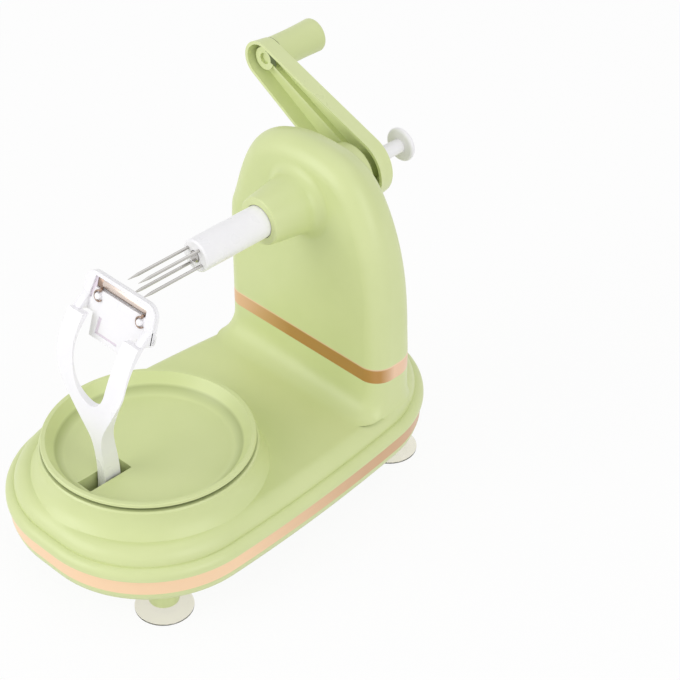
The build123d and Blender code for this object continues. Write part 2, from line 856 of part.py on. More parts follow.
def make_driven_bevel():
    """Bevel gear on top of the upright shaft, a tooth towards the rear."""
    gear = Pos(0, upright_y, spindle_z) * bevel_body(90)
    return gear - upright_rod(upright_r + seat_gap, frame_top_z, spindle_z, 0, upright_y)


def make_drive_bevel():
    """Bevel gear on the spindle, a gap towards the driven gear."""
    gear = Pos(0, upright_y, spindle_z) * (Rot(90, 0, 0) * bevel_body(-90 + 180 / bevel_teeth))
    return gear - level_rod(spindle_front_r + seat_gap, upright_y, spindle_step_y + cut_over)


def make_idler_pin(place):
    """Steel pin of an idler, held by the tray below and the housing above."""
    return upright_rod(idler_pin_r, tray_floor_z, pin_top_z, *place)


def make_gear_frame():
    """Bracket with a foot and a top shelf that carries the upright shaft."""
    low = shelf_z + shelf_thick
    body = block(-frame_half_width, frame_half_width, frame_front_y, frame_back_y, low, low + frame_floor)
    body += block(-frame_plate_half, frame_plate_half, frame_back_y - frame_plate, frame_back_y, low,
                  frame_top_z)
    body += block(-frame_plate_half, frame_plate_half, frame_front_y, frame_back_y,
                  frame_top_z - frame_floor, frame_top_z)
    for side in (-1, 1):
        x = side * (frame_plate_half + frame_plate / 2)
        wedge = Polyline((frame_front_y + frame_plate, low + frame_floor),
                         (frame_back_y, low + frame_floor),
                         (frame_back_y, low + frame_floor + gusset_height), close=True)
        gusset = Plane.YZ.offset(x - frame_plate / 2) * make_face(wedge)
        body += extrude(gusset, amount=frame_plate)
        body -= upright_rod(screw_r + seat_gap, low - cut_over, low + frame_floor + cut_over,
                            side * frame_screw_x, frame_screw_y)
    body -= upright_rod(frame_bush_r + seat_gap, low - cut_over, low + frame_floor + cut_over, 0, upright_y)
    body -= upright_rod(frame_bush_r + seat_gap, frame_top_z - frame_floor - cut_over,
                        frame_top_z + cut_over, 0, upright_y)
    return body


def make_upright_bush(top_z):
    """Flanged bush of the upright shaft, its flange on top."""
    inner = upright_r + running_gap
    return turned_upright(
        [(inner, top_z - frame_floor), (frame_bush_r, top_z - frame_floor), (frame_bush_r, top_z),
         (bush_flange_r, top_z),
         (bush_flange_r, top_z + bush_flange), (inner, top_z + bush_flange)], 0, upright_y)


# Tower
def bell_face(inset, shoulder, cheek, top_z):
    """One bell outline of the tower cover, drawn in by inset, with its foot on the line z = 0."""
    half = tower_half_width - inset
    top = (0, top_z - inset - cover_z)
    right = [(half, 0), (shoulder[0] - inset, shoulder[1] - cover_z),
             (cheek[0] - inset, cheek[1] - inset / 2 - cover_z)]
    left = [(-x, z) for x, z in reversed(right)]
    return make_face([
        Spline(*right, top, tangents=[(0, 1), (-1, 0)]),
        Spline(top, *left, tangents=[(-1, 0), (0, -1)]),
        Line((-half, 0), (half, 0)),
    ])


def bell_solid(inset):
    """Tower cover as a solid: a tall bell in front drawn back to a lower, leaning one, edges rolled over."""
    front = tower_front_y + inset
    rear = tower_rear_y - inset
    lean = atan(tower_lean / (tower_top_z - cover_z))
    front_plane = Plane(origin=(0, front, cover_z), x_dir=(1, 0, 0), z_dir=(0, -1, 0))
    rear_plane = Plane(origin=(0, rear, cover_z), x_dir=(1, 0, 0), z_dir=(0, -cos(lean), -sin(lean)))
    tall = bell_face(inset, (shoulder_half_width, shoulder_z), (cheek_half_width, cheek_z), tower_top_z)
    low = bell_face(inset, (rear_shoulder_half_width, rear_shoulder_z),
                    (rear_cheek_half_width, rear_cheek_z), rear_top_z)
    body = loft([front_plane * tall, rear_plane * low], ruled=True)
    rims = body.edges().filter_by(lambda e: e.center().Z > cover_z + cut_over)
    front_rim = rims.filter_by(lambda e: abs(e.center().Y - front) < air_gap)
    body = fillet(front_rim, tower_front_corner - inset)
    rims = body.edges().filter_by(lambda e: e.center().Z > cover_z + cut_over)
    rear_rim = rims.filter_by(lambda e: e.center().Y > rear - tower_lean - air_gap)
    return fillet(rear_rim, tower_rear_corner - inset)


def nose_solid():
    """Cone in front of the tower that covers the spindle, flaring into the tower's face."""
    root_y = tower_front_y + shell_wall
    cone_y = tower_front_y - nose_fillet
    root_r = nose_cone_r + nose_fillet
    bend = nose_fillet * (1 - sqrt(2) / 2)
    profile = [
        Line((0, nose_front_y), (nose_front_r - nose_lip / 2, nose_front_y)),
        Line((nose_front_r - nose_lip / 2, nose_front_y), (nose_front_r, nose_front_y + nose_lip / 2)),
        Line((nose_front_r, nose_front_y + nose_lip / 2), (nose_cone_r, cone_y)),
        ThreePointArc((nose_cone_r, cone_y), (nose_cone_r + bend, tower_front_y - bend),
                      (root_r, tower_front_y)),
        Line((root_r, tower_front_y), (root_r, root_y)),
        Line((root_r, root_y), (0, root_y)),
        Line((0, root_y), (0, nose_front_y)),
    ]
    return Pos(0, 0, spindle_z) * revolve(make_face(profile), Axis.Y)


def make_tower_cover():
    """Tower shell with the nose cone in front, the spindle boss behind and two screw pillars."""
    boss_root_y = tower_rear_y - tower_lean
    body = bell_solid(0) + nose_solid()
    body += turned_spindle([
        (0, upright_y), (rear_boss_root_r, upright_y), (rear_boss_root_r, boss_root_y),
        (rear_boss_r, rear_boss_y - nose_lip), (rear_boss_r - nose_lip, rear_boss_y), (0, rear_boss_y)])
    body -= bell_solid(shell_wall)
    body -= level_rod(rear_pocket_r, upright_y, rear_bush_y)
    body -= level_rod(rear_bush_r + seat_gap, rear_bush_y - cut_over, rear_bush_y + rear_bush_length)
    body -= level_rod(spindle_rear_r + air_gap, rear_bush_y, rear_boss_y + cut_over)
    body -= level_rod(sleeve_r + air_gap, nose_front_y - cut_over, bush_front_y)
    body -= level_rod(front_bush_r + seat_gap, bush_front_y - cut_over, bush_front_y + bush_length)
    body -= level_rod(front_bush_r - shell_wall / 2, bush_front_y, tower_front_y + shell_wall + cut_over)
    low = shelf_z + shelf_thick
    lip_y = tower_front_y + lip_inner_inset + air_gap
    for x, y in mirrored_places(cover_screw_x, cover_screw_y):
        pillar = upright_rod(pillar_r, low, cover_z + cover_pillar_height, x, y)
        pillar -= block(x - pillar_r, x + pillar_r, tower_front_y, lip_y, low, cover_z)
        body += pillar - upright_rod(screw_r + seat_gap, low - cut_over, low + screw_length, x, y)
    return body


def make_tower_band():
    """Trim ring between the housing and the tower cover."""
    return tower_slab(0, foot_top_z, cover_z) - tower_slab(band_thick, foot_top_z - cut_over,
                                                           cover_z + cut_over)


def make_front_bush():
    """Bush in the nose."""
    return level_tube(spindle_front_r + running_gap, front_bush_r, bush_front_y, bush_front_y + bush_length)


def make_rear_bush():
    """Bush in the rear boss."""
    return level_tube(spindle_rear_r + running_gap, rear_bush_r, rear_bush_y,
                      rear_bush_y + rear_bush_length)


# Spindle, fork and push rod
def make_spindle():
    """Stepped tube shaft with two flats at the crank end."""
    profile = [
        (pin_bore_r, spindle_front_y), (spindle_front_r, spindle_front_y),
        (spindle_front_r, spindle_step_y),
        (spindle_rear_r, spindle_step_y), (spindle_rear_r, spindle_rear_y), (rod_bore_r, spindle_rear_y),
        (rod_bore_r, spring_seat_y), (pin_bore_r, spring_seat_y),
    ]
    return turned_spindle(profile) - spindle_flats(0)


def spindle_flats(gap):
    """The two pieces cut away beside the flats, from the crank's floor backwards."""
    length_y = crank_front_y - air_gap
    reach = spindle_rear_r + cut_over
    cuts = [block(-reach, reach, length_y, spindle_rear_y + cut_over, spindle_z + spindle_flat + gap,
                  spindle_z + reach),
            block(-reach, reach, length_y, spindle_rear_y + cut_over, spindle_z - reach,
                  spindle_z - spindle_flat - gap)]
    return cuts[0] + cuts[1]


def prong_places():
    """Positions of the prongs round the spindle axis."""
    angles = [radians(prong_turn + 360 * n / prong_count) for n in range(prong_count)]
    return [(prong_circle_r * cos(a), spindle_z + prong_circle_r * sin(a)) for a in angles]


def make_sleeve():
    """White sleeve that holds the prongs on the spindle."""
    body = turned_spindle([
        (0, sleeve_front_y), (sleeve_r - sleeve_chamfer, sleeve_front_y),
        (sleeve_r, sleeve_front_y + sleeve_chamfer),
        (sleeve_r, sleeve_rear_y), (0, sleeve_rear_y)])
    body -= level_rod(tip_bore_r, sleeve_front_y - cut_over, spindle_front_y)
    body -= level_rod(spindle_front_r + seat_gap, spindle_front_y, sleeve_rear_y + cut_over)
    for x, z in prong_places():
        body -= level_rod(prong_r + seat_gap, sleeve_front_y - cut_over, sleeve_front_y + prong_root, x, z)
    return body


def make_prong(x, z):
    """Pointed steel prong."""
    return turned_spindle([
        (0, prong_tip_y), (prong_point_r, prong_tip_y), (prong_r, prong_tip_y + prong_taper),
        (prong_r, sleeve_front_y + prong_root), (0, sleeve_front_y + prong_root)], x, z)


def make_push_rod():
    """White rod: thick behind, a slim pin through the spindle."""
    return turned_spindle([
        (0, rod_pin_front_y), (rod_pin_r, rod_pin_front_y), (rod_pin_r, rod_step_y), (rod_r, rod_step_y),
        (rod_r, cap_front_y + cap_rod_seat), (0, cap_front_y + cap_rod_seat)])


def make_push_cap():
    """Mushroom button on the rod."""
    crown_r = cap_r - cap_edge_r
    crown_y = cap_front_y + 2 * cap_edge_r
    cap_back_y = cap_front_y + cap_thick
    profile = [
        Line((0, cap_front_y + cap_rod_seat), (rod_r + seat_gap, cap_front_y + cap_rod_seat)),
        Line((rod_r + seat_gap, cap_front_y + cap_rod_seat), (rod_r + seat_gap, cap_front_y)),
        Line((rod_r + seat_gap, cap_front_y), (crown_r, cap_front_y)),
        ThreePointArc((crown_r, cap_front_y), (cap_r, cap_front_y + cap_edge_r), (crown_r, crown_y)),
        ThreePointArc((crown_r, crown_y), (crown_r / 2, crown_y + crown_share * (cap_back_y - crown_y)),
                      (pole_r, cap_back_y)),
        Line((pole_r, cap_back_y), (0, cap_back_y)),
        Line((0, cap_back_y), (0, cap_front_y + cap_rod_seat)),
    ]
    return Pos(0, 0, spindle_z) * revolve(make_face(profile), Axis.Y)


def make_ejector_tip():
    """Steel tip on the front of the slim pin, just proud of the sleeve."""
    return turned_spindle([
        (0, tip_front_y), (tip_r - tip_edge, tip_front_y), (tip_r, tip_front_y + tip_edge),
        (tip_r, tip_front_y + tip_length),
        (rod_pin_r + seat_gap, tip_front_y + tip_length), (rod_pin_r + seat_gap, rod_pin_front_y),
        (0, rod_pin_front_y)])


def make_ejector_spring():
    """Return spring of the push rod, as a plain sleeve: it is out of sight in the spindle."""
    inner = rod_pin_r + air_gap / 2
    return level_tube(inner, inner + spring_wire * 2, spring_seat_y, rod_step_y)


# Crank and grip
crank_x = crank_length * cos(radians(crank_angle))
crank_z = spindle_z + crank_length * sin(radians(crank_angle))


def crank_face(inset, y):
    """Outline of the crank in the plane at y: two circles and their tangents, drawn in by inset."""
    hub_r = crank_hub_r - inset
    tip_r_here = crank_tip_r - inset
    lean = asin((crank_hub_r - crank_tip_r) / crank_length)
    up = radians(90) - lean
    tilt = radians(crank_angle)

    def at(along, radius, angle):
        x = along + radius * cos(angle)
        z = radius * sin(angle)
        return (x * cos(tilt) - z * sin(tilt), x * sin(tilt) + z * cos(tilt))

    start, end = 0, crank_length
    edges = [
        ThreePointArc(at(start, hub_r, up), at(start, hub_r, pi), at(start, hub_r, -up)),
        Line(at(start, hub_r, -up), at(end, tip_r_here, -up)),
        ThreePointArc(at(end, tip_r_here, -up), at(end, tip_r_here, 0), at(end, tip_r_here, up)),
        Line(at(end, tip_r_here, up), at(start, hub_r, up)),
    ]
    return Pos(0, y, spindle_z) * (Rot(90, 0, 0) * make_face(edges))


def make_crank():
    """Channel-shaped crank, open towards the tower, with hub, grip boss and a middle rib."""
    outer = loft([crank_face(0, crank_front_y), crank_face(crank_draft, crank_back_y)], ruled=True)
    floor_y = crank_back_y - crank_floor
    inner = loft([crank_face(crank_wall - crank_draft, crank_front_y - (crank_back_y - crank_front_y)),
                  crank_face(crank_wall + crank_draft, floor_y)], ruled=True)
    body = outer - inner
    filled = level_rod(hub_boss_r, crank_front_y + hub_boss_recess, floor_y)
    filled += level_rod(grip_boss_r, crank_front_y + grip_boss_recess, floor_y, crank_x, crank_z)
    rib_front = crank_front_y + crank_rib_drop
    rib = Pos(crank_x / 2, (rib_front + floor_y) / 2, (spindle_z + crank_z) / 2) * (
        Rot(0, -crank_angle, 0) * Box(crank_length, floor_y - rib_front, crank_rib))
    body += filled + rib
    shaft = level_rod(spindle_rear_r + seat_gap, crank_front_y - cut_over,
                      crank_back_y + cut_over) - spindle_flats(seat_gap)
    body -= shaft
    body -= level_rod(grip_pin_r + seat_gap, crank_front_y - cut_over, crank_back_y + cut_over, crank_x,
                      crank_z)
    return body


def make_hub_clip():
    """Ring that holds the crank on the spindle."""
    ring = level_tube(spindle_rear_r + seat_gap, spindle_rear_r + clip_wall, crank_back_y + seat_gap,
                      crank_back_y + clip_thick)
    return ring


def make_grip():
    """Spinning grip, waisted a little, with a blind bore and a pocket for the pin's collar."""
    front = crank_back_y + air_gap
    back = front + grip_length
    collar_front = grip_pin_front_y + grip_pin_length - grip_pin_collar_length
    bend = grip_end_round * (1 - sqrt(2) / 2)
    profile = [
        Line((0, front), (grip_r, front)),
        ThreePointArc((grip_r, front), (grip_r - grip_waist, (front + back) / 2),
                      (grip_r, back - grip_end_round)),
        ThreePointArc((grip_r, back - grip_end_round), (grip_r - bend, back - bend),
                      (grip_r - grip_end_round, back)),
        Line((grip_r - grip_end_round, back), (0, back)),
        Line((0, back), (0, front)),
    ]
    body = Pos(crank_x, 0, crank_z) * revolve(make_face(profile), Axis.Y)
    body -= level_rod(grip_pin_r + running_gap, front - cut_over, collar_front, crank_x, crank_z)
    return body - level_rod(grip_pin_r + grip_pin_collar + running_gap, collar_front - air_gap,
                            grip_pin_front_y + grip_pin_length + air_gap, crank_x, crank_z)


def make_grip_pin():
    """Pin of the grip, fixed in the crank, with a collar that keeps the grip on."""
    back = grip_pin_front_y + grip_pin_length
    collar_front = back - grip_pin_collar_length
    collar_r = grip_pin_r + grip_pin_collar
    return turned_spindle([
        (0, grip_pin_front_y), (grip_pin_r, grip_pin_front_y), (grip_pin_r, collar_front),
        (collar_r, collar_front),
        (collar_r, back - grip_pin_collar), (grip_pin_r, back), (0, back)], crank_x, crank_z)


# Peeler arm, carrier and blade
head_frame = Pos(0, head_base_y, head_base_z) * Rot(-head_lean, 0, 0)


def arm_front_face():
    """Front view of the yoke: stem, crotch and two arms."""
    foot_z = arm_pivot_z - arm_foot_r
    flank = [(stem_half_width, stem_top_z), (knee_x, knee_z), (hip_x, hip_z), (thigh_x, thigh_z)]
    flank.append((arm_half_width, arm_straight_z))
    mirrored = [(-x, z) for x, z in reversed(flank)]
    inside = [(fork_top_x, arm_top_z), (fork_mid_x, fork_mid_z), (fork_low_x, fork_low_z), (0, crotch_z)]
    inside += [(-x, z) for x, z in reversed(inside[:-1])]
    edges = [
        Line((-stem_half_width, foot_z), (stem_half_width, foot_z)),
        Line((stem_half_width, foot_z), (stem_half_width, stem_top_z)),
        Spline(*flank, tangents=[(0, 1), (0, 1)]),
        Line((arm_half_width, arm_straight_z), (arm_half_width, arm_top_z)),
        Line((arm_half_width, arm_top_z), (fork_top_x, arm_top_z)),
        Spline(*inside, tangents=[(0, -1), (0, 1)]),
        Line((-fork_top_x, arm_top_z), (-arm_half_width, arm_top_z)),
        Line((-arm_half_width, arm_top_z), (-arm_half_width, arm_straight_z)),
        Spline(*mirrored, tangents=[(0, -1), (0, -1)]),
        Line((-stem_half_width, stem_top_z), (-stem_half_width, foot_z)),
    ]
    return make_face(edges)


def arm_side_face():
    """Side view of the yoke: round foot, upright stem and tips that lean towards the fruit."""
    back_y = arm_pivot_y - arm_foot_r
    face_y = arm_pivot_y + arm_foot_r
    edges = [
        ThreePointArc((back_y, arm_pivot_z), (arm_pivot_y, arm_pivot_z - arm_foot_r),
                      (face_y, arm_pivot_z)),
        Spline((face_y, arm_pivot_z), (stem_face_y, stem_face_z), (face_knee_y, face_knee_z),
               (face_hip_y, face_hip_z),
               (face_tip_y, arm_top_z)),
        Line((face_tip_y, arm_top_z), (back_tip_y, arm_top_z)),
        Spline((back_tip_y, arm_top_z), (back_hip_y, back_hip_z), (stem_back_y, stem_back_z),
               (back_y, arm_pivot_z)),
    ]
    return make_face(edges)


def make_arm():
    """White yoke: front view and side view crossed, with a boss on the pin."""
    depth = 2 * (arm_foot_r - back_hip_y)
    front = extrude(Plane.XZ.offset(-arm_foot_r) * arm_front_face(), amount=depth)
    side = extrude(Plane.YZ.offset(-arm_half_width) * arm_side_face(), amount=2 * arm_half_width)
    body = common(front, side)
    boss_reach = slot_half_width - air_gap
    boss = Plane.YZ.offset(-boss_reach) * (Pos(arm_pivot_y, arm_pivot_z) * Circle(arm_boss_r))
    body += extrude(boss, amount=boss_reach)
    body -= cross_rod(arm_pin_r + running_gap, arm_half_width, arm_pivot_y, arm_pivot_z)
    reach = arm_half_width + cut_over
    return body - head_frame * block(-reach, reach, -reach, reach, head_shoulder - seat_gap, head_height)


def make_arm_pin():
    """Steel pin of the arm, held in the slot's two ears."""
    return cross_rod(arm_pin_r, slot_half_width + ear_thick, arm_pivot_y, arm_pivot_z)


def make_arm_spring():
    """Torsion spring beside the arm's foot, as a plain coil sleeve: it is out of sight under the disc."""
    inner = arm_pin_r + air_gap / 2
    ring = Pos(arm_pivot_y, arm_pivot_z) * (Circle(inner + arm_spring_wire) - Circle(inner))
    start = stem_half_width + air_gap
    return extrude(Plane.YZ.offset(start) * ring, amount=slot_half_width - start - seat_gap)


def head_face():
    """Outline of the head's plate: a tongue between the arms and wide rounded shoulders above."""
    half, wide, corner = head_half_width, arm_half_width, head_corner_r
    bow = corner * (1 - sqrt(2) / 2)
    edges = [
        Line((-half, 0), (half, 0)),
        Line((half, 0), (half, head_shoulder)),
        Line((half, head_shoulder), (wide, head_shoulder)),
        Line((wide, head_shoulder), (wide, head_height - corner)),
        ThreePointArc((wide, head_height - corner), (wide - bow, head_height - bow),
                      (wide - corner, head_height)),
        Line((wide - corner, head_height), (-wide + corner, head_height)),
        ThreePointArc((-wide + corner, head_height), (-wide + bow, head_height - bow),
                      (-wide, head_height - corner)),
        Line((-wide, head_height - corner), (-wide, head_shoulder)),
        Line((-wide, head_shoulder), (-half, head_shoulder)),
        Line((-half, head_shoulder), (-half, 0)),
    ]
    return make_face(edges)


def make_carrier():
    """White head: plate with a blade window, a shallow pocket and deep shoulders on the arms' tips."""
    body = extrude(Plane.XZ.offset(-head_plate) * head_face(), amount=head_plate)
    for side in (-1, 1):
        inner, outer = sorted((side * head_half_width, side * arm_half_width))
        body += block(inner, outer, 0, head_shoulder_depth, head_shoulder,
                      head_shoulder + head_shoulder_height)
        body += block(inner, outer, -head_shoulder_front, 0, head_shoulder,
                      head_shoulder + head_shoulder_lip)
    body -= block(-window_half_width, window_half_width, -cut_over, head_plate + cut_over, window_low,
                  window_high)
    body -= block(groove_left, groove_left + groove_wide, -cut_over, groove_deep, groove_low, groove_high)
    body -= block(groove_left, groove_right, -cut_over, groove_deep, groove_low, groove_low + groove_wide)
    middle = (blade_low + blade_high) / 2
    body -= cross_rod(blade_pivot_r + running_gap, blade_pivot_reach + air_gap, blade_depth, middle)
    for side in (-1, 1):
        hole = turned_spindle([(0, -cut_over), (stud_r + seat_gap, -cut_over),
                               (stud_r + seat_gap, stud_seat), (0, stud_seat)],
                              side * stud_x, stud_height)
        body -= hole
    return head_frame * body


def make_stud(side):
    """Steel stud that a hook of the blade reaches round."""
    return head_frame * turned_spindle(
        [(0, -stud_proud), (stud_r - hook_wall / 2, -stud_proud), (stud_r, -stud_proud + hook_wall / 2),
         (stud_r, stud_seat),
         (0, stud_seat)], side * stud_x, stud_height)


def make_blade():
    """Slit steel blade on two end pivots, with a hook over each stud."""
    near, far = blade_depth - blade_thick / 2, blade_depth + blade_thick / 2
    middle = (blade_low + blade_high) / 2
    body = block(-blade_half_length, blade_half_length, near, far, blade_low, blade_high)
    root = blade_half_length - blade_pivot_root
    body += cross_rod(blade_pivot_r, blade_pivot_reach, blade_depth, middle) - block(
        -root, root, blade_depth - cut_over, blade_depth + cut_over, blade_low, blade_high)
    body -= block(-blade_slit_half, blade_slit_half, near - cut_over, far + cut_over, middle,
                  middle + blade_slit)
    hook_near, hook_far = -air_gap - blade_thick, -air_gap
    hook_r = stud_r + air_gap
    for side in (-1, 1):
        x = side * stud_x
        hook = level_tube(hook_r, hook_r + hook_wall, hook_near, hook_far, x, stud_height)
        hook -= block(x - hook_r - cut_over, x + hook_r + cut_over, hook_near - cut_over,
                      hook_far + cut_over,
                      stud_height - hook_r - cut_over, stud_height)
        body += hook
        body += block(x - hook_wall, x + hook_wall, hook_near, hook_far, stud_height + hook_r,
                      blade_low + hook_wall)
        body += block(x - hook_wall, x + hook_wall, hook_near, far, blade_low, blade_low + hook_wall)
    return head_frame * body


def make_screws(places, head_z, length):
    """Identical screws as separate solids of one node."""
    screws = Part()
    for x, y in places:
        screws += make_screw(x, y, head_z, length)
    return screws


def all_pieces():
    """Every piece by the name of its node."""
    pieces = {
        "base_tray": make_tray(),
        "base_band": make_base_band(),
        "base_housing": make_housing(),
        "tower_band": make_tower_band(),
        "tower_cover": make_tower_cover(),
        "turntable_disc": make_table_disc(),
        "table_gear": make_table_gear(),
        "table_washer": make_table_washer(),
        "table_screw": make_table_screw(),
        "idler_gear_a": make_idler_a(),
        "idler_gear_b": make_idler_b(),
        "idler_pin_a": make_idler_pin(idler_a),
        "idler_pin_b": make_idler_pin(idler_b),
        "upright_shaft": make_upright_shaft(),
        "upright_pinion": make_upright_pinion(),
        "driven_bevel": make_driven_bevel(),
        "drive_bevel": make_drive_bevel(),
        "gear_frame": make_gear_frame(),
        "upright_bush_low": make_upright_bush(shelf_z + shelf_thick + frame_floor),
        "upright_bush_high": make_upright_bush(frame_top_z),
        "front_bush": make_front_bush(),
        "rear_bush": make_rear_bush(),
        "spindle": make_spindle(),
        "fork_sleeve": make_sleeve(),
        "push_rod": make_push_rod(),
        "push_cap": make_push_cap(),
        "ejector_tip": make_ejector_tip(),
        "ejector_spring": make_ejector_spring(),
        "crank_arm": make_crank(),
        "hub_clip": make_hub_clip(),
        "crank_grip": make_grip(),
        "grip_pin": make_grip_pin(),
        "peeler_arm": make_arm(),
        "arm_pin": make_arm_pin(),
        "arm_spring": make_arm_spring(),
        "blade_carrier": make_carrier(),
        "peeler_blade": make_blade(),
        "blade_stud_left": make_stud(-1),
        "blade_stud_right": make_stud(1),
        "tray_screws": make_screws(tray_screw_places(), tray_floor_z + air_gap - screw_head, screw_length),
        "frame_screws": make_screws(mirrored_places(frame_screw_x, frame_screw_y), shelf_z - screw_head,
                                    frame_screw_length),
        "cover_screws": make_screws(mirrored_places(cover_screw_x, cover_screw_y), shelf_z - screw_head,
                                    screw_length),
    }
    for name, (x, y) in stem_places().items():
        pieces["suction_cup_" + name] = make_cup(x, y)
    for number, (x, z) in enumerate(prong_places(), start=1):
        pieces["fork_prong_" + str(number)] = make_prong(x, z)
    return pieces


def main():
    """Build every piece, move all of them to the common origin and write one file for each."""
    os.makedirs("parts", exist_ok=True)
    pieces = all_pieces()
    boxes = [piece.bounding_box() for piece in pieces.values()]
    low_x, high_x = min(b.min.X for b in boxes), max(b.max.X for b in boxes)
    low_y, high_y = min(b.min.Y for b in boxes), max(b.max.Y for b in boxes)
    low_z = min(b.min.Z for b in boxes)
    shift = (-(low_x + high_x) / 2, -(low_y + high_y) / 2, -low_z)
    print("origin shift", shift)
    print("overall size", high_x - low_x, high_y - low_y, max(b.max.Z for b in boxes) - low_z)
    for name, piece in pieces.items():
        export_step(Pos(*shift) * piece, "parts/" + name + ".step")


main()
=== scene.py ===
"""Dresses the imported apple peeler: materials, fine surface detail, studio and camera.

Everything is in metres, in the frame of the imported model: +Y runs from the turntable to the
crank tower and +Z is up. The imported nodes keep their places. Where a moulding's rounded surface
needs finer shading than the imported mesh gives, a smoothed skin of the same shape stands for it.
The peeler's head and blade have finer pieces of their own.
"""
from __future__ import annotations

import json
import logging
import math
from dataclasses import dataclass, field
from enum import Enum

import bmesh
import bpy
from mathutils import Matrix, Vector

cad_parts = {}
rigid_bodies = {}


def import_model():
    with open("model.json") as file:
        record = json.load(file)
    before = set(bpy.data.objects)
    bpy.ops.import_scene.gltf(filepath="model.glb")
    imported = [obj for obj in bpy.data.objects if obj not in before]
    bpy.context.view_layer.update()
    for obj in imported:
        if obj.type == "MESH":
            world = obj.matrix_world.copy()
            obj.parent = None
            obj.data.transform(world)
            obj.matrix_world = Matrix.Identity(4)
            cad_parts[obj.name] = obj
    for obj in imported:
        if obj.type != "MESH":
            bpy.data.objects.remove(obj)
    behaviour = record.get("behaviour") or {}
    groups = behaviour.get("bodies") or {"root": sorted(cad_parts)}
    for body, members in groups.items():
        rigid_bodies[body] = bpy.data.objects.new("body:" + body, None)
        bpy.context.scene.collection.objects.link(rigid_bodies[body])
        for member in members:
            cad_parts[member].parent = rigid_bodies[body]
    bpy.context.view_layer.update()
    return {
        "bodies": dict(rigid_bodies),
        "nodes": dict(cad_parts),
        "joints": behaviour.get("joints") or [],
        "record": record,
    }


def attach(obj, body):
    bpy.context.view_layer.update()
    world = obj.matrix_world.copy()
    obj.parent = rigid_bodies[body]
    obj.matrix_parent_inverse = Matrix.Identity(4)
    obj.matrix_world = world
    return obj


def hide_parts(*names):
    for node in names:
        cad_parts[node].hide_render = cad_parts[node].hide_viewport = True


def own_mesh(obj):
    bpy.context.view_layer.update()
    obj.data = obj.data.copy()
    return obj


LOG = logging.getLogger("apple_peeler")
Triple = tuple[float, float, float]
Colour = Triple
Span = tuple[float, float]
Point = tuple[float, float]
Outline = list[Point]
Node = bpy.types.Node
Socket = bpy.types.NodeSocket
Tree = bpy.types.NodeTree
Material = bpy.types.Material
Piece = bpy.types.Object
MM = 0.001
NUMBER = "NodeSocketFloat"
TINT = "NodeSocketColor"
VECTOR = "NodeSocketVector"
CREASE_ANGLE = math.radians(35.0)
ROUNDED_ANGLE = 0.9


def linear(red: float, green: float, blue: float) -> Colour:
    """Turns a display colour of 0 to 255 steps into the linear values that shaders take.

    Args:
        red: red, 0 to 255.
        green: green, 0 to 255.
        blue: blue, 0 to 255.

    Returns:
        The linear colour.
    """
    def one(step: float) -> float:
        """One channel."""
        share = step / 255.0
        return share / 12.92 if share <= 0.04045 else ((share + 0.055) / 1.055) ** 2.4

    return one(red), one(green), one(blue)


def opaque(colour: Colour) -> tuple[float, float, float, float]:
    """The colour with full alpha.

    Args:
        colour: the linear colour.

    Returns:
        The colour with a fourth value of 1.
    """
    return colour[0], colour[1], colour[2], 1.0


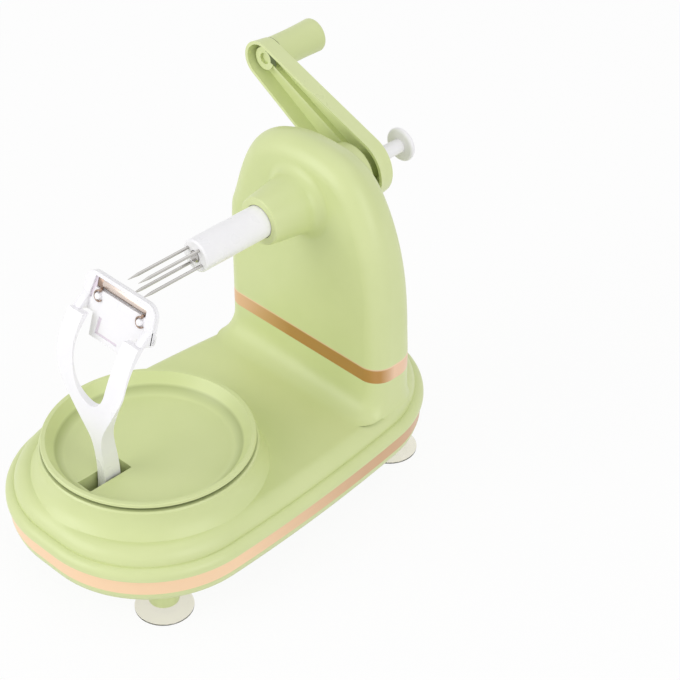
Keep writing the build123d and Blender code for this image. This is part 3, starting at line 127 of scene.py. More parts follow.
class Sheet:
    """A node tree with short calls for adding and joining nodes."""

    def __init__(self, tree: Tree) -> None:
        """Keeps the tree.

        Args:
            tree: the tree to fill.
        """
        self.tree = tree

    def add(self, kind: str, **settings: object) -> Node:
        """Adds a node and sets its plain properties.

        Args:
            kind: the node's type name.
            settings: property names and values.

        Returns:
            The new node.
        """
        node = self.tree.nodes.new(kind)
        for name, value in settings.items():
            setattr(node, name, value)
        return node

    def join(self, source: Socket, target: Socket) -> None:
        """Links two sockets.

        Args:
            source: the output.
            target: the input.
        """
        self.tree.links.new(source, target)

    def feed(self, target: Socket, value: object) -> None:
        """Links a socket, or sets a plain value, on an input.

        Args:
            target: the input.
            value: a socket, a number or a colour.
        """
        if isinstance(value, Socket):
            self.join(value, target)
        else:
            target.default_value = value

    def noise(self, scale: object, detail: float, place: Socket) -> Socket:
        """Adds a noise texture in object space.

        Args:
            scale: how many bumps to a metre, as a number or a socket.
            detail: how many octaves.
            place: the coordinate socket.

        Returns:
            The noise value.
        """
        node = self.add("ShaderNodeTexNoise")
        self.join(place, node.inputs["Vector"])
        self.feed(node.inputs["Scale"], scale)
        node.inputs["Detail"].default_value = detail
        return node.outputs["Fac"]

    def math(self, operation: str, first: object, second: object) -> Socket:
        """Adds a math node.

        Args:
            operation: the operation's name.
            first: a socket or number.
            second: a socket or number.

        Returns:
            The result.
        """
        node = self.add("ShaderNodeMath", operation=operation)
        self.feed(node.inputs[0], first)
        self.feed(node.inputs[1], second)
        return node.outputs[0]

    def spread(self, value: Socket, ends: Span, out: tuple[object, object] = (0.0, 1.0)) -> Socket:
        """Maps a value from one range to another, held inside it.

        Args:
            value: the socket to map.
            ends: the two input limits.
            out: the two output limits, as numbers or sockets.

        Returns:
            The mapped value.
        """
        node = self.add("ShaderNodeMapRange")
        self.join(value, node.inputs["Value"])
        for name, number in zip(("From Min", "From Max", "To Min", "To Max"), (*ends, *out)):
            self.feed(node.inputs[name], number)
        return node.outputs["Result"]

    def blend(self, share: object, first: object, second: object) -> Socket:
        """Mixes two colours.

        Args:
            share: how much of the second.
            first: the first colour.
            second: the second colour.

        Returns:
            The mixed colour.
        """
        node = self.add("ShaderNodeMix", data_type="RGBA")
        self.feed(node.inputs["Factor"], share)
        self.feed(node.inputs[6], first)
        self.feed(node.inputs[7], second)
        return node.outputs[2]

    def seen(self) -> Socket:
        """What the camera sees straight on, in gloss or through clear plastic.

        Returns:
            A mask that is 1 for those rays.
        """
        path = self.add("ShaderNodeLightPath")
        seen = self.math("MAXIMUM", path.outputs["Is Camera Ray"], path.outputs["Is Glossy Ray"])
        return self.math("MAXIMUM", seen, path.outputs["Is Transmission Ray"])


def new_group(
    name: str,
    inputs: list[tuple[str, str, object]],
    outputs: list[tuple[str, str]],
) -> tuple[Tree, Sheet, Node, Node]:
    """Makes an empty shader node group with its sockets.

    Args:
        name: the group's name.
        inputs: name, socket type and default of each input.
        outputs: name and socket type of each output.

    Returns:
        The tree, its sheet, the input node and the output node.
    """
    tree = bpy.data.node_groups.new(name, "ShaderNodeTree")
    for label, kind, value in inputs:
        socket = tree.interface.new_socket(name=label, in_out="INPUT", socket_type=kind)
        socket.default_value = value
    for label, kind in outputs:
        tree.interface.new_socket(name=label, in_out="OUTPUT", socket_type=kind)
    sheet = Sheet(tree)
    return tree, sheet, sheet.add("NodeGroupInput"), sheet.add("NodeGroupOutput")


class SharedEffects:
    """Node groups that more than one finish uses, each built once."""

    grain_detail = 2.0
    cloud_detail = 3.0
    cloud_ends = (0.35, 0.68)
    handling_scale = 95.0
    handling_detail = 5.0
    play_ends = (0.3, 0.7)
    edge_ends = (0.52, 0.60)
    edge_break_scale = 160.0
    edge_break_detail = 4.0
    edge_break_ends = (0.35, 0.6)
    least_edge_highlight = 0.35
    edge_polish = 0.12
    line_detail = 3.0

    def __init__(self) -> None:
        """Builds the groups."""
        self.moulded = self.build_moulded()
        self.edges = self.build_edge_highlight()
        self.streaks = self.build_streaks()

    def play(self, sheet: Sheet, start: Node, share: Socket) -> Socket:
        """Roughness that plays about its level.

        Args:
            sheet: the group's nodes.
            start: the group's input node, with Roughness and Roughness Play.
            share: the noise that it follows.

        Returns:
            The roughness.
        """
        low = sheet.math("SUBTRACT", start.outputs["Roughness"], start.outputs["Roughness Play"])
        high = sheet.math("ADD", start.outputs["Roughness"], start.outputs["Roughness Play"])
        return sheet.spread(share, self.play_ends, (low, high))

    def build_moulded(self) -> Tree:
        """Fine spark-eroded grain with faint cloudiness, as on moulded plastic.

        Returns:
            The group.
        """
        tree, sheet, start, end = new_group(
            "moulded_surface",
            [("Colour", TINT, (0.8, 0.8, 0.8, 1.0)), ("Cloud Colour", TINT, (0.7, 0.7, 0.7, 1.0)),
             ("Roughness", NUMBER, 0.4), ("Roughness Play", NUMBER, 0.06),
             ("Grain", NUMBER, 2600.0), ("Cloud", NUMBER, 28.0)],
            [("Colour", TINT), ("Roughness", NUMBER), ("Height", NUMBER)])
        place = sheet.add("ShaderNodeTexCoord").outputs["Object"]
        grain = sheet.noise(start.outputs["Grain"], self.grain_detail, place)
        cloud = sheet.noise(start.outputs["Cloud"], self.cloud_detail, place)
        handling = sheet.noise(self.handling_scale, self.handling_detail, place)
        tone = sheet.spread(cloud, self.cloud_ends)
        colour = sheet.blend(tone, start.outputs["Colour"], start.outputs["Cloud Colour"])
        sheet.join(colour, end.inputs["Colour"])
        sheet.join(self.play(sheet, start, handling), end.inputs["Roughness"])
        sheet.join(grain, end.inputs["Height"])
        return tree

    def build_edge_highlight(self) -> Tree:
        """Paler, slightly polished convex edges: the paler colour is a painted highlight, broken up by
        noise.

        Returns:
            The group.
        """
        tree, sheet, start, end = new_group(
            "painted_edge_highlight",
            [("Colour", TINT, (0.8, 0.8, 0.8, 1.0)), ("Edge Colour", TINT, (0.9, 0.9, 0.9, 1.0)),
             ("Roughness", NUMBER, 0.4), ("Amount", NUMBER, 0.5)],
            [("Colour", TINT), ("Roughness", NUMBER)])
        place = sheet.add("ShaderNodeTexCoord").outputs["Object"]
        point = sheet.add("ShaderNodeNewGeometry").outputs["Pointiness"]
        edge = sheet.spread(point, self.edge_ends)
        edge_break = sheet.noise(self.edge_break_scale, self.edge_break_detail, place)
        broken = sheet.spread(edge_break, self.edge_break_ends, (self.least_edge_highlight, 1.0))
        # Painted highlight: the edge colour is laid on convex edges.
        mask = sheet.math("MULTIPLY", sheet.math("MULTIPLY", edge, broken), start.outputs["Amount"])
        colour = sheet.blend(mask, start.outputs["Colour"], start.outputs["Edge Colour"])
        sheet.join(colour, end.inputs["Colour"])
        polish = sheet.math("MULTIPLY", mask, self.edge_polish)
        sheet.join(sheet.math("SUBTRACT", start.outputs["Roughness"], polish), end.inputs["Roughness"])
        return tree

    def build_streaks(self) -> Tree:
        """Fine lines from drawing or grinding, as the stretch of the noise sets them.

        Returns:
            The group.
        """
        tree, sheet, start, end = new_group(
            "worked_metal",
            [("Stretch", VECTOR, (600.0, 20.0, 600.0)), ("Roughness", NUMBER, 0.2),
             ("Roughness Play", NUMBER, 0.1), ("Colour", TINT, (0.7, 0.7, 0.7, 1.0)),
             ("Dull Colour", TINT, (0.6, 0.6, 0.6, 1.0))],
            [("Colour", TINT), ("Roughness", NUMBER), ("Height", NUMBER)])
        place = sheet.add("ShaderNodeTexCoord").outputs["Object"]
        stretched = sheet.add("ShaderNodeVectorMath", operation="MULTIPLY")
        sheet.join(place, stretched.inputs[0])
        sheet.join(start.outputs["Stretch"], stretched.inputs[1])
        lines = sheet.noise(1.0, self.line_detail, stretched.outputs["Vector"])
        sheet.join(self.play(sheet, start, lines), end.inputs["Roughness"])
        colour = sheet.blend(lines, start.outputs["Colour"], start.outputs["Dull Colour"])
        sheet.join(colour, end.inputs["Colour"])
        sheet.join(lines, end.inputs["Height"])
        return tree


@dataclass(frozen=True)
class MouldedPlastic:
    """Satin moulded plastic with grain, faint clouding, painted edge highlights and painted crevice shade.

    The ring is a soft line of painted shade round an upright axis: its centre's x and y, its radius
    and its width, in metres. A width of 0 leaves it out.
    """

    name: str
    colour: Colour
    cloud: Colour
    edge: Colour
    roughness: float = 0.42
    play: float = 0.05
    grain: float = 2600.0
    grain_depth: float = 0.035
    # How strong the painted highlight on convex edges is.
    edge_highlight: float = 0.35
    shade: Colour = (0.0, 0.0, 0.0)
    # Painted shade: how far crevices darken towards the shade colour.
    painted_crevice_shade: float = 0.0
    crevice_reach: float = 0.007
    crevice_ends: Span = (0.03, 0.42)
    crevice_samples: int = 6
    ring: tuple[float, float, float, float] = (0.0, 0.0, 0.0, 0.0)
    ring_depth: float = 0.4
    ring_fall: float = 0.25
    grain_height: float = 0.0002
    refraction: float = 1.5

    def build(self, shared: SharedEffects) -> Material:
        """Makes the material.

        Args:
            shared: the shared node groups.

        Returns:
            The material.
        """
        material, sheet, shader = start_material(self.name)
        surface = sheet.add("ShaderNodeGroup", node_tree=shared.moulded)
        surface.inputs["Colour"].default_value = opaque(self.colour)
        surface.inputs["Cloud Colour"].default_value = opaque(self.cloud)
        surface.inputs["Roughness"].default_value = self.roughness
        surface.inputs["Roughness Play"].default_value = self.play
        surface.inputs["Grain"].default_value = self.grain
        edges = sheet.add("ShaderNodeGroup", node_tree=shared.edges)
        edges.inputs["Edge Colour"].default_value = opaque(self.edge)
        edges.inputs["Amount"].default_value = self.edge_highlight
        sheet.join(surface.outputs["Colour"], edges.inputs["Colour"])
        sheet.join(surface.outputs["Roughness"], edges.inputs["Roughness"])
        colour = edges.outputs["Colour"]
        if self.painted_crevice_shade > 0.0:
            colour = self.paint_crevice_shade(sheet, colour)
        if self.ring[3] > 0.0:
            colour = self.paint_ring_shade(sheet, colour)
        sheet.join(colour, shader.inputs["Base Color"])
        sheet.join(edges.outputs["Roughness"], shader.inputs["Roughness"])
        add_bump(sheet, shader, surface.outputs["Height"], self.grain_depth, self.grain_height)
        shader.inputs["IOR"].default_value = self.refraction
        return material

    def paint_crevice_shade(self, sheet: Sheet, colour: Socket) -> Socket:
        """Darkens narrow gaps and deep corners with painted shade, by ambient occlusion.

        Args:
            sheet: the material's nodes.
            colour: the colour so far.

        Returns:
            The colour with its crevices.
        """
        nook = sheet.add("ShaderNodeAmbientOcclusion", samples=self.crevice_samples)
        nook.inputs["Distance"].default_value = self.crevice_reach
        deep = sheet.spread(nook.outputs["AO"], self.crevice_ends, (self.painted_crevice_shade, 0.0))
        return sheet.blend(deep, colour, opaque(self.shade))

    def paint_ring_shade(self, sheet: Sheet, colour: Socket) -> Socket:
        """Adds the ring of painted shade.

        Args:
            sheet: the material's nodes.
            colour: the colour so far.

        Returns:
            The colour with its ring.
        """
        centre_x, centre_y, radius, width = self.ring
        split = sheet.add("ShaderNodeSeparateXYZ")
        sheet.join(sheet.add("ShaderNodeTexCoord").outputs["Object"], split.inputs[0])
        across = sheet.math("SUBTRACT", split.outputs["X"], centre_x)
        along = sheet.math("SUBTRACT", split.outputs["Y"], centre_y)
        across = sheet.math("MULTIPLY", across, across)
        along = sheet.math("MULTIPLY", along, along)
        away = sheet.math("SQRT", sheet.math("ADD", across, along), 0.0)
        rise = sheet.spread(away, (radius - width, radius), (0.0, self.ring_depth))
        fall = sheet.spread(away, (radius, radius + width * self.ring_fall), (1.0, 0.0))
        return sheet.blend(sheet.math("MULTIPLY", rise, fall), colour, opaque(self.shade))


@dataclass(frozen=True)
class WorkedMetal:
    """Drawn, ground or turned metal."""

    name: str
    colour: Colour
    dull: Colour
    roughness: float = 0.22
    play: float = 0.08
    stretch: Triple = (900.0, 25.0, 900.0)
    line_depth: float = 0.05
    line_height: float = 0.0001
    metallic: float = 1.0

    def build(self, shared: SharedEffects) -> Material:
        """Makes the material.

        Args:
            shared: the shared node groups.

        Returns:
            The material.
        """
        material, sheet, shader = start_material(self.name)
        surface = sheet.add("ShaderNodeGroup", node_tree=shared.streaks)
        surface.inputs["Colour"].default_value = opaque(self.colour)
        surface.inputs["Dull Colour"].default_value = opaque(self.dull)
        surface.inputs["Roughness"].default_value = self.roughness
        surface.inputs["Roughness Play"].default_value = self.play
        surface.inputs["Stretch"].default_value = self.stretch
        sheet.join(surface.outputs["Colour"], shader.inputs["Base Color"])
        sheet.join(surface.outputs["Roughness"], shader.inputs["Roughness"])
        add_bump(sheet, shader, surface.outputs["Height"], self.line_depth, self.line_height)
        shader.inputs["Metallic"].default_value = self.metallic
        return material


@dataclass(frozen=True)
class TrimFoil:
    """Copper foil on a trim band, with a painted highlight along its upper edge.

    Its tone drifts from start to finish over a span of X, and to the side tone over a span of Y: painted
    reflection.
    """

    name: str
    start: Colour
    finish: Colour
    side: Colour
    pale: Colour
    span: Span
    side_span: Span
    highlight_z: float
    highlight_width: float = 0.0007
    highlight_share: float = 0.8
    roughness: float = 0.36
    play: float = 0.06
    cloud: float = 60.0
    wander: float = 0.05
    grain_depth: float = 0.004
    grain_height: float = 0.0001
    metallic: float = 0.25

    def build(self, shared: SharedEffects) -> Material:
        """Makes the material.

        Args:
            shared: the shared node groups.

        Returns:
            The material.
        """
        material, sheet, shader = start_material(self.name)
        place = sheet.add("ShaderNodeTexCoord").outputs["Object"]
        split = sheet.add("ShaderNodeSeparateXYZ")
        sheet.join(place, split.inputs[0])
        # Painted reflection and shade: the tone shifts along X and towards the side along Y.
        painted_reflection_drift = sheet.spread(split.outputs["X"], self.span)
        painted_side_tone = sheet.spread(split.outputs["Y"], self.side_span)
        surface = sheet.add("ShaderNodeGroup", node_tree=shared.moulded)
        surface.inputs["Roughness"].default_value = self.roughness
        surface.inputs["Roughness Play"].default_value = self.play
        surface.inputs["Cloud"].default_value = self.cloud
        wander = sheet.math("ADD", painted_reflection_drift, sheet.math("MULTIPLY", surface.outputs["Height"], self.wander))
        front = sheet.blend(wander, opaque(self.start), opaque(self.finish))
        tone = sheet.blend(painted_side_tone, front, opaque(self.side))
        # Painted highlight: a pale line along the upper edge.
        highlight_ends = (self.highlight_z - self.highlight_width, self.highlight_z)
        line = sheet.spread(split.outputs["Z"], highlight_ends, (0.0, self.highlight_share))
        sheet.join(sheet.blend(line, tone, opaque(self.pale)), shader.inputs["Base Color"])
        sheet.join(surface.outputs["Roughness"], shader.inputs["Roughness"])
        add_bump(sheet, shader, surface.outputs["Height"], self.grain_depth, self.grain_height)
        shader.inputs["Metallic"].default_value = self.metallic
        return material


@dataclass(frozen=True)
class ClearRubber:
    """Clear soft plastic of the suction cups."""

    name: str
    colour: Colour
    roughness: float = 0.12
    play: float = 0.05
    grain: float = 900.0
    grain_depth: float = 0.02
    grain_height: float = 0.0002
    refraction: float = 1.38

    def build(self, shared: SharedEffects) -> Material:
        """Makes the material.

        Args:
            shared: the shared node groups.

        Returns:
            The material.
        """
        material, sheet, shader = start_material(self.name)
        surface = sheet.add("ShaderNodeGroup", node_tree=shared.moulded)
        surface.inputs["Roughness"].default_value = self.roughness
        surface.inputs["Roughness Play"].default_value = self.play
        surface.inputs["Grain"].default_value = self.grain
        shader.inputs["Base Color"].default_value = opaque(self.colour)
        sheet.join(surface.outputs["Roughness"], shader.inputs["Roughness"])
        add_bump(sheet, shader, surface.outputs["Height"], self.grain_depth, self.grain_height)
        shader.inputs["Transmission Weight"].default_value = 1.0
        shader.inputs["IOR"].default_value = self.refraction
        return material


def start_material(name: str) -> tuple[Material, Sheet, Node]:
    """Makes a material with a principled shader joined to its output.

    Args:
        name: the material's name.

    Returns:
        The material, the sheet for its nodes and the shader.
    """
    material = bpy.data.materials.new(name)
    material.use_nodes = True
    material.node_tree.nodes.clear()
    sheet = Sheet(material.node_tree)
    shader = sheet.add("ShaderNodeBsdfPrincipled")
    output = sheet.add("ShaderNodeOutputMaterial")
    sheet.join(shader.outputs["BSDF"], output.inputs["Surface"])
    return material, sheet, shader


def add_bump(sheet: Sheet, shader: Node, height: Socket, strength: float, distance: float) -> None:
    """Joins a height to the shader's normal.

    Args:
        sheet: the material's nodes.
        shader: the principled shader.
        height: the height socket.
        strength: the bump's strength.
        distance: the height of a full step, in metres.
    """
    bump = sheet.add("ShaderNodeBump")
    bump.inputs["Strength"].default_value = strength
    bump.inputs["Distance"].default_value = distance
    sheet.join(height, bump.inputs["Height"])
    sheet.join(bump.outputs["Normal"], shader.inputs["Normal"])


class Finish(Enum):
    """The finishes by name, each with its values."""

    # The shade colours and crevice amounts below give painted shade in crevices.
    GREEN = MouldedPlastic(
        "green_satin", linear(212, 221, 162), linear(208, 218, 157), linear(221, 229, 176),
        roughness=0.36, edge_highlight=0.25, shade=linear(70, 80, 38), painted_crevice_shade=0.85)
    WHITE = MouldedPlastic(
        "white_satin", linear(246, 245, 247), linear(243, 242, 246), linear(250, 250, 250),
        roughness=0.32, edge_highlight=0.2, grain_depth=0.02, shade=linear(196, 186, 196), painted_crevice_shade=0.6,
        crevice_reach=0.004)
    GEAR = MouldedPlastic(
        "gear_plastic", linear(232, 230, 220), linear(226, 223, 212), linear(240, 239, 232),
        roughness=0.4)
    DARK = MouldedPlastic(
        "dark_plastic", linear(30, 31, 30), linear(26, 27, 27), linear(48, 48, 48),
        roughness=0.55)
    # A lighter copy of the green for the crank: painted light in its channel, with weaker painted crevice
    # shade.
    CRANK_GREEN_LIT = MouldedPlastic(
        "crank_green_painted_light", linear(217, 226, 167), linear(213, 222, 162), linear(224, 232, 180),
        roughness=0.34, edge_highlight=0.25, shade=linear(96, 108, 56), painted_crevice_shade=0.5, crevice_reach=0.003)
    # The dish's green: stronger painted crevice shade and a ring of painted shade at the dish's inner
    # corner.
    DISH_GREEN = MouldedPlastic(
        "dish_green_plastic", linear(212, 221, 162), linear(208, 218, 157), linear(221, 229, 176),
        roughness=0.36, edge_highlight=0.25, shade=linear(110, 124, 62), painted_crevice_shade=0.9,
        ring=(0.005245, -0.05665, 0.0455, 0.004))
    # Dark green for the crank's pieces of painted shade.
    PAINTED_SHADE = MouldedPlastic(
        "painted_shade_plastic", linear(84, 98, 46), linear(74, 86, 40), linear(96, 110, 58),
        roughness=0.5)
    # Mauve for the floors of the head's pocket and groove: painted shade in these recesses.
    RECESS_SHADE = MouldedPlastic(
        "painted_recess_shade", linear(226, 214, 226), linear(219, 206, 220), linear(234, 226, 234),
        roughness=0.4)
    # The trims' tone shifts and pale upper lines are painted reflection, shade and highlight.
    BASE_TRIM = TrimFoil(
        "base_trim_foil", start=linear(250, 214, 176), finish=linear(250, 214, 176),
        side=linear(214, 174, 136), pale=linear(255, 236, 212),
        span=(-0.03, 0.05), side_span=(-0.06, 0.03), highlight_z=0.0330)
    TOWER_TRIM = TrimFoil(
        "tower_trim_foil", start=linear(232, 188, 142), finish=linear(188, 140, 76),
        side=linear(240, 202, 170), pale=linear(246, 216, 184),
        span=(-0.04, 0.0), side_span=(0.05, 0.058), highlight_z=0.0742)
    BLADE = WorkedMetal(
        "coated_blade", linear(226, 212, 202), linear(207, 191, 180),
        roughness=0.3, stretch=(30.0, 900.0, 900.0), metallic=0.7)
    BLADE_EDGE = WorkedMetal(
        "blade_edge", linear(168, 146, 132), linear(140, 118, 104),
        roughness=0.3, stretch=(30.0, 900.0, 900.0))
    STEEL = WorkedMetal(
        "drawn_steel", linear(205, 203, 200), linear(176, 173, 170),
        roughness=0.16)
    CUP = ClearRubber("clear_cup", linear(236, 233, 218))


class Workshop:
    """Keeps the built materials and the loaded nodes, and dresses pieces."""

    weld_distance = 0.000004

    def __init__(self, frame: dict) -> None:
        """Keeps the frame and builds every finish.

        Args:
            frame: what the frame's load call gives.
        """
        self.nodes: dict[str, Piece] = frame["nodes"]
        shared = SharedEffects()
        self.materials = {finish: finish.value.build(shared) for finish in Finish}

    def paint(self, piece: Piece, finish: Finish) -> None:
        """Gives a piece one material.

        Args:
            piece: the piece.
            finish: its finish.
        """
        slots = piece.data.materials
        if len(slots) == 0:
            slots.append(self.materials[finish])
        for index in range(len(slots)):
            slots[index] = self.materials[finish]

    def dress(self, names: list[str], finish: Finish) -> None:
        """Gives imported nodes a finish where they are.

        Args:
            names: the nodes.
            finish: their finish.
        """
        for name in names:
            self.paint(self.nodes[name], finish)
            LOG.info("%s keeps its packed shape, finish %s", name, finish.name)

    def skin(self, name: str, body: str, finish: Finish, angle: float = 32.0) -> Piece:
        """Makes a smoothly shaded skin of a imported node's own shape, which then stands for it.

        Args:
            name: the node.
            body: the body that it rides on.
            finish: its finish.
            angle: edges sharper than this many degrees stay sharp.

        Returns:
            The skin.
        """
        mesh = self.nodes[name].data.copy()
        mesh.name = name + "_skin"
        work = bmesh.new()
        work.from_mesh(mesh)
        bmesh.ops.remove_doubles(work, verts=work.verts, dist=self.weld_distance)
        bmesh.ops.recalc_face_normals(work, faces=work.faces)
        work.to_mesh(mesh)
        work.free()
        for label in ("custom_normal", "sharp_face"):
            if label in mesh.attributes:
                mesh.attributes.remove(mesh.attributes[label])
        mesh.shade_smooth()
        mesh.set_sharp_from_angle(angle=math.radians(angle))
        piece = add_piece(name + "_skin", mesh)
        self.paint(piece, finish)
        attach(piece, body)
        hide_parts(name)
        LOG.info("%s has a smooth skin, finish %s", name, finish.name)
        return piece


def add_piece(name: str, data: bpy.types.ID) -> Piece:
    """Puts a mesh, curve, light or camera into the scene.

    Args:
        name: the piece's name.
        data: what it shows.

    Returns:
        The new piece.
    """
    piece = bpy.data.objects.new(name, data)
    bpy.context.scene.collection.objects.link(piece)
    return piece


def prism(name: str, outline: Outline, axis: str, ends: Span, edge: float = 0.0) -> Piece:
    """Makes a solid by drawing a flat outline along an axis.

    Args:
        name: the piece's name.
        outline: the outline's corners in mm, as (y, z) for axis X or (x, z) for axis Y.
        axis: X or Y, the direction of drawing.
        ends: where it starts and ends on that axis, in mm.
        edge: how far its edges are rounded, in mm.

    Returns:
        The solid, in metres.
    """
    work = bmesh.new()
    rings = []
    for end in ends:
        if axis == "X":
            points = [(end, first, second) for first, second in outline]
        else:
            points = [(first, end, second) for first, second in outline]
        rings.append([work.verts.new(Vector(point) * MM) for point in points])
    count = len(outline)
    for index in range(count):
        after = (index + 1) % count
        work.faces.new((rings[0][index], rings[0][after], rings[1][after], rings[1][index]))
    work.faces.new(list(reversed(rings[0])))
    work.faces.new(rings[1])
    bmesh.ops.recalc_face_normals(work, faces=work.faces)
    if edge > 0.0:
        sharp = [line for line in work.edges if line.calc_face_angle(0.0) > ROUNDED_ANGLE]
        bmesh.ops.bevel(work, geom=sharp, offset=edge * MM, segments=2, profile=0.5, affect="EDGES")
    mesh = bpy.data.meshes.new(name)
    work.to_mesh(mesh)
    work.free()
    mesh.shade_smooth()
    mesh.set_sharp_from_angle(angle=CREASE_ANGLE)
    return add_piece(name, mesh)


def plate(name: str, outline: Outline, holes: list[Outline], ends: Span, edge: float) -> Piece:
    """Makes a flat plate with holes and rounded edges.

    Args:
        name: the piece's name.
        outline: the plate's outline in mm, as (x, z).
        holes: the holes' outlines in mm.
        ends: where the plate starts and ends on Y, in mm.
        edge: how far its edges are rounded, in mm.

    Returns:
        The plate, in metres.
    """
    curve = bpy.data.curves.new(name, "CURVE")
    curve.dimensions = "2D"
    curve.fill_mode = "BOTH"
    curve.extrude = ((ends[1] - ends[0]) / 2 - edge) * MM
    curve.bevel_depth = edge * MM
    curve.bevel_resolution = 2
    curve.offset = -edge * MM
    for loop in [outline, *holes]:
        spline = curve.splines.new("POLY")
        spline.points.add(len(loop) - 1)
        for point, (first, second) in zip(spline.points, loop):
            point.co = (first * MM, second * MM, 0.0, 1.0)
        spline.use_cyclic_u = True
    drawn = add_piece(name + "_curve", curve)
    bpy.context.view_layer.update()
    mesh = bpy.data.meshes.new_from_object(drawn.evaluated_get(bpy.context.evaluated_depsgraph_get()))
    bpy.data.objects.remove(drawn)
    bpy.data.curves.remove(curve)
    middle = (ends[0] + ends[1]) / 2 * MM
    upright = Matrix.Rotation(math.radians(90.0), 4, "X")
    mesh.transform(Matrix.Translation((0.0, middle, 0.0)) @ upright)
    mesh.name = name
    mesh.shade_smooth()
    mesh.set_sharp_from_angle(angle=CREASE_ANGLE)
    return add_piece(name, mesh)


def arc(centre: Point, radius: float, start: float, end: float, steps: int) -> Outline:
    """Points on an arc.

    Args:
        centre: its centre.
        radius: its radius.
        start: the angle where it starts, in degrees.
        end: the angle where it ends, in degrees.
        steps: how many pieces it has.

    Returns:
        The points from start to end.
    """
    across, up = centre
    turns = [math.radians(start + (end - start) * step / steps) for step in range(steps + 1)]
    return [(across + radius * math.cos(turn), up + radius * math.sin(turn)) for turn in turns]


@dataclass
class Base:
    """Housing, tray, trim band and cups."""

    cups: tuple[str, ...] = ("front_left", "front_right", "rear_left", "rear_right")

    def build(self, shop: Workshop) -> None:
        """Dresses the base.

        Args:
            shop: the workshop.
        """
        shop.skin("base_housing", "base", Finish.GREEN)
        shop.skin("base_tray", "base", Finish.GREEN)
        shop.skin("base_band", "base", Finish.BASE_TRIM)
        for cup in self.cups:
            shop.skin("suction_cup_" + cup, "base", Finish.CUP)


@dataclass
class Tower:
    """Tower cover, its trim band and the hidden bearings."""

    bearings: tuple[str, ...] = (
        "front_bush", "rear_bush", "gear_frame", "upright_bush_low", "upright_bush_high")

    def build(self, shop: Workshop) -> None:
        """Dresses the tower.

        Args:
            shop: the workshop.
        """
        shop.skin("tower_cover", "base", Finish.GREEN)
        shop.skin("tower_band", "base", Finish.TOWER_TRIM)
        shop.dress(list(self.bearings), Finish.DARK)


@dataclass
class Turntable:
    """Dished disc with its gear, washer and screw."""

    metal: tuple[str, ...] = ("table_washer", "table_screw", "arm_pin", "arm_spring")

    def build(self, shop: Workshop) -> None:
        """Dresses the turntable.

        Args:
            shop: the workshop.
        """
        shop.skin("turntable_disc", "turntable", Finish.DISH_GREEN)
        shop.dress(["table_gear"], Finish.DARK)
        shop.dress(list(self.metal), Finish.STEEL)


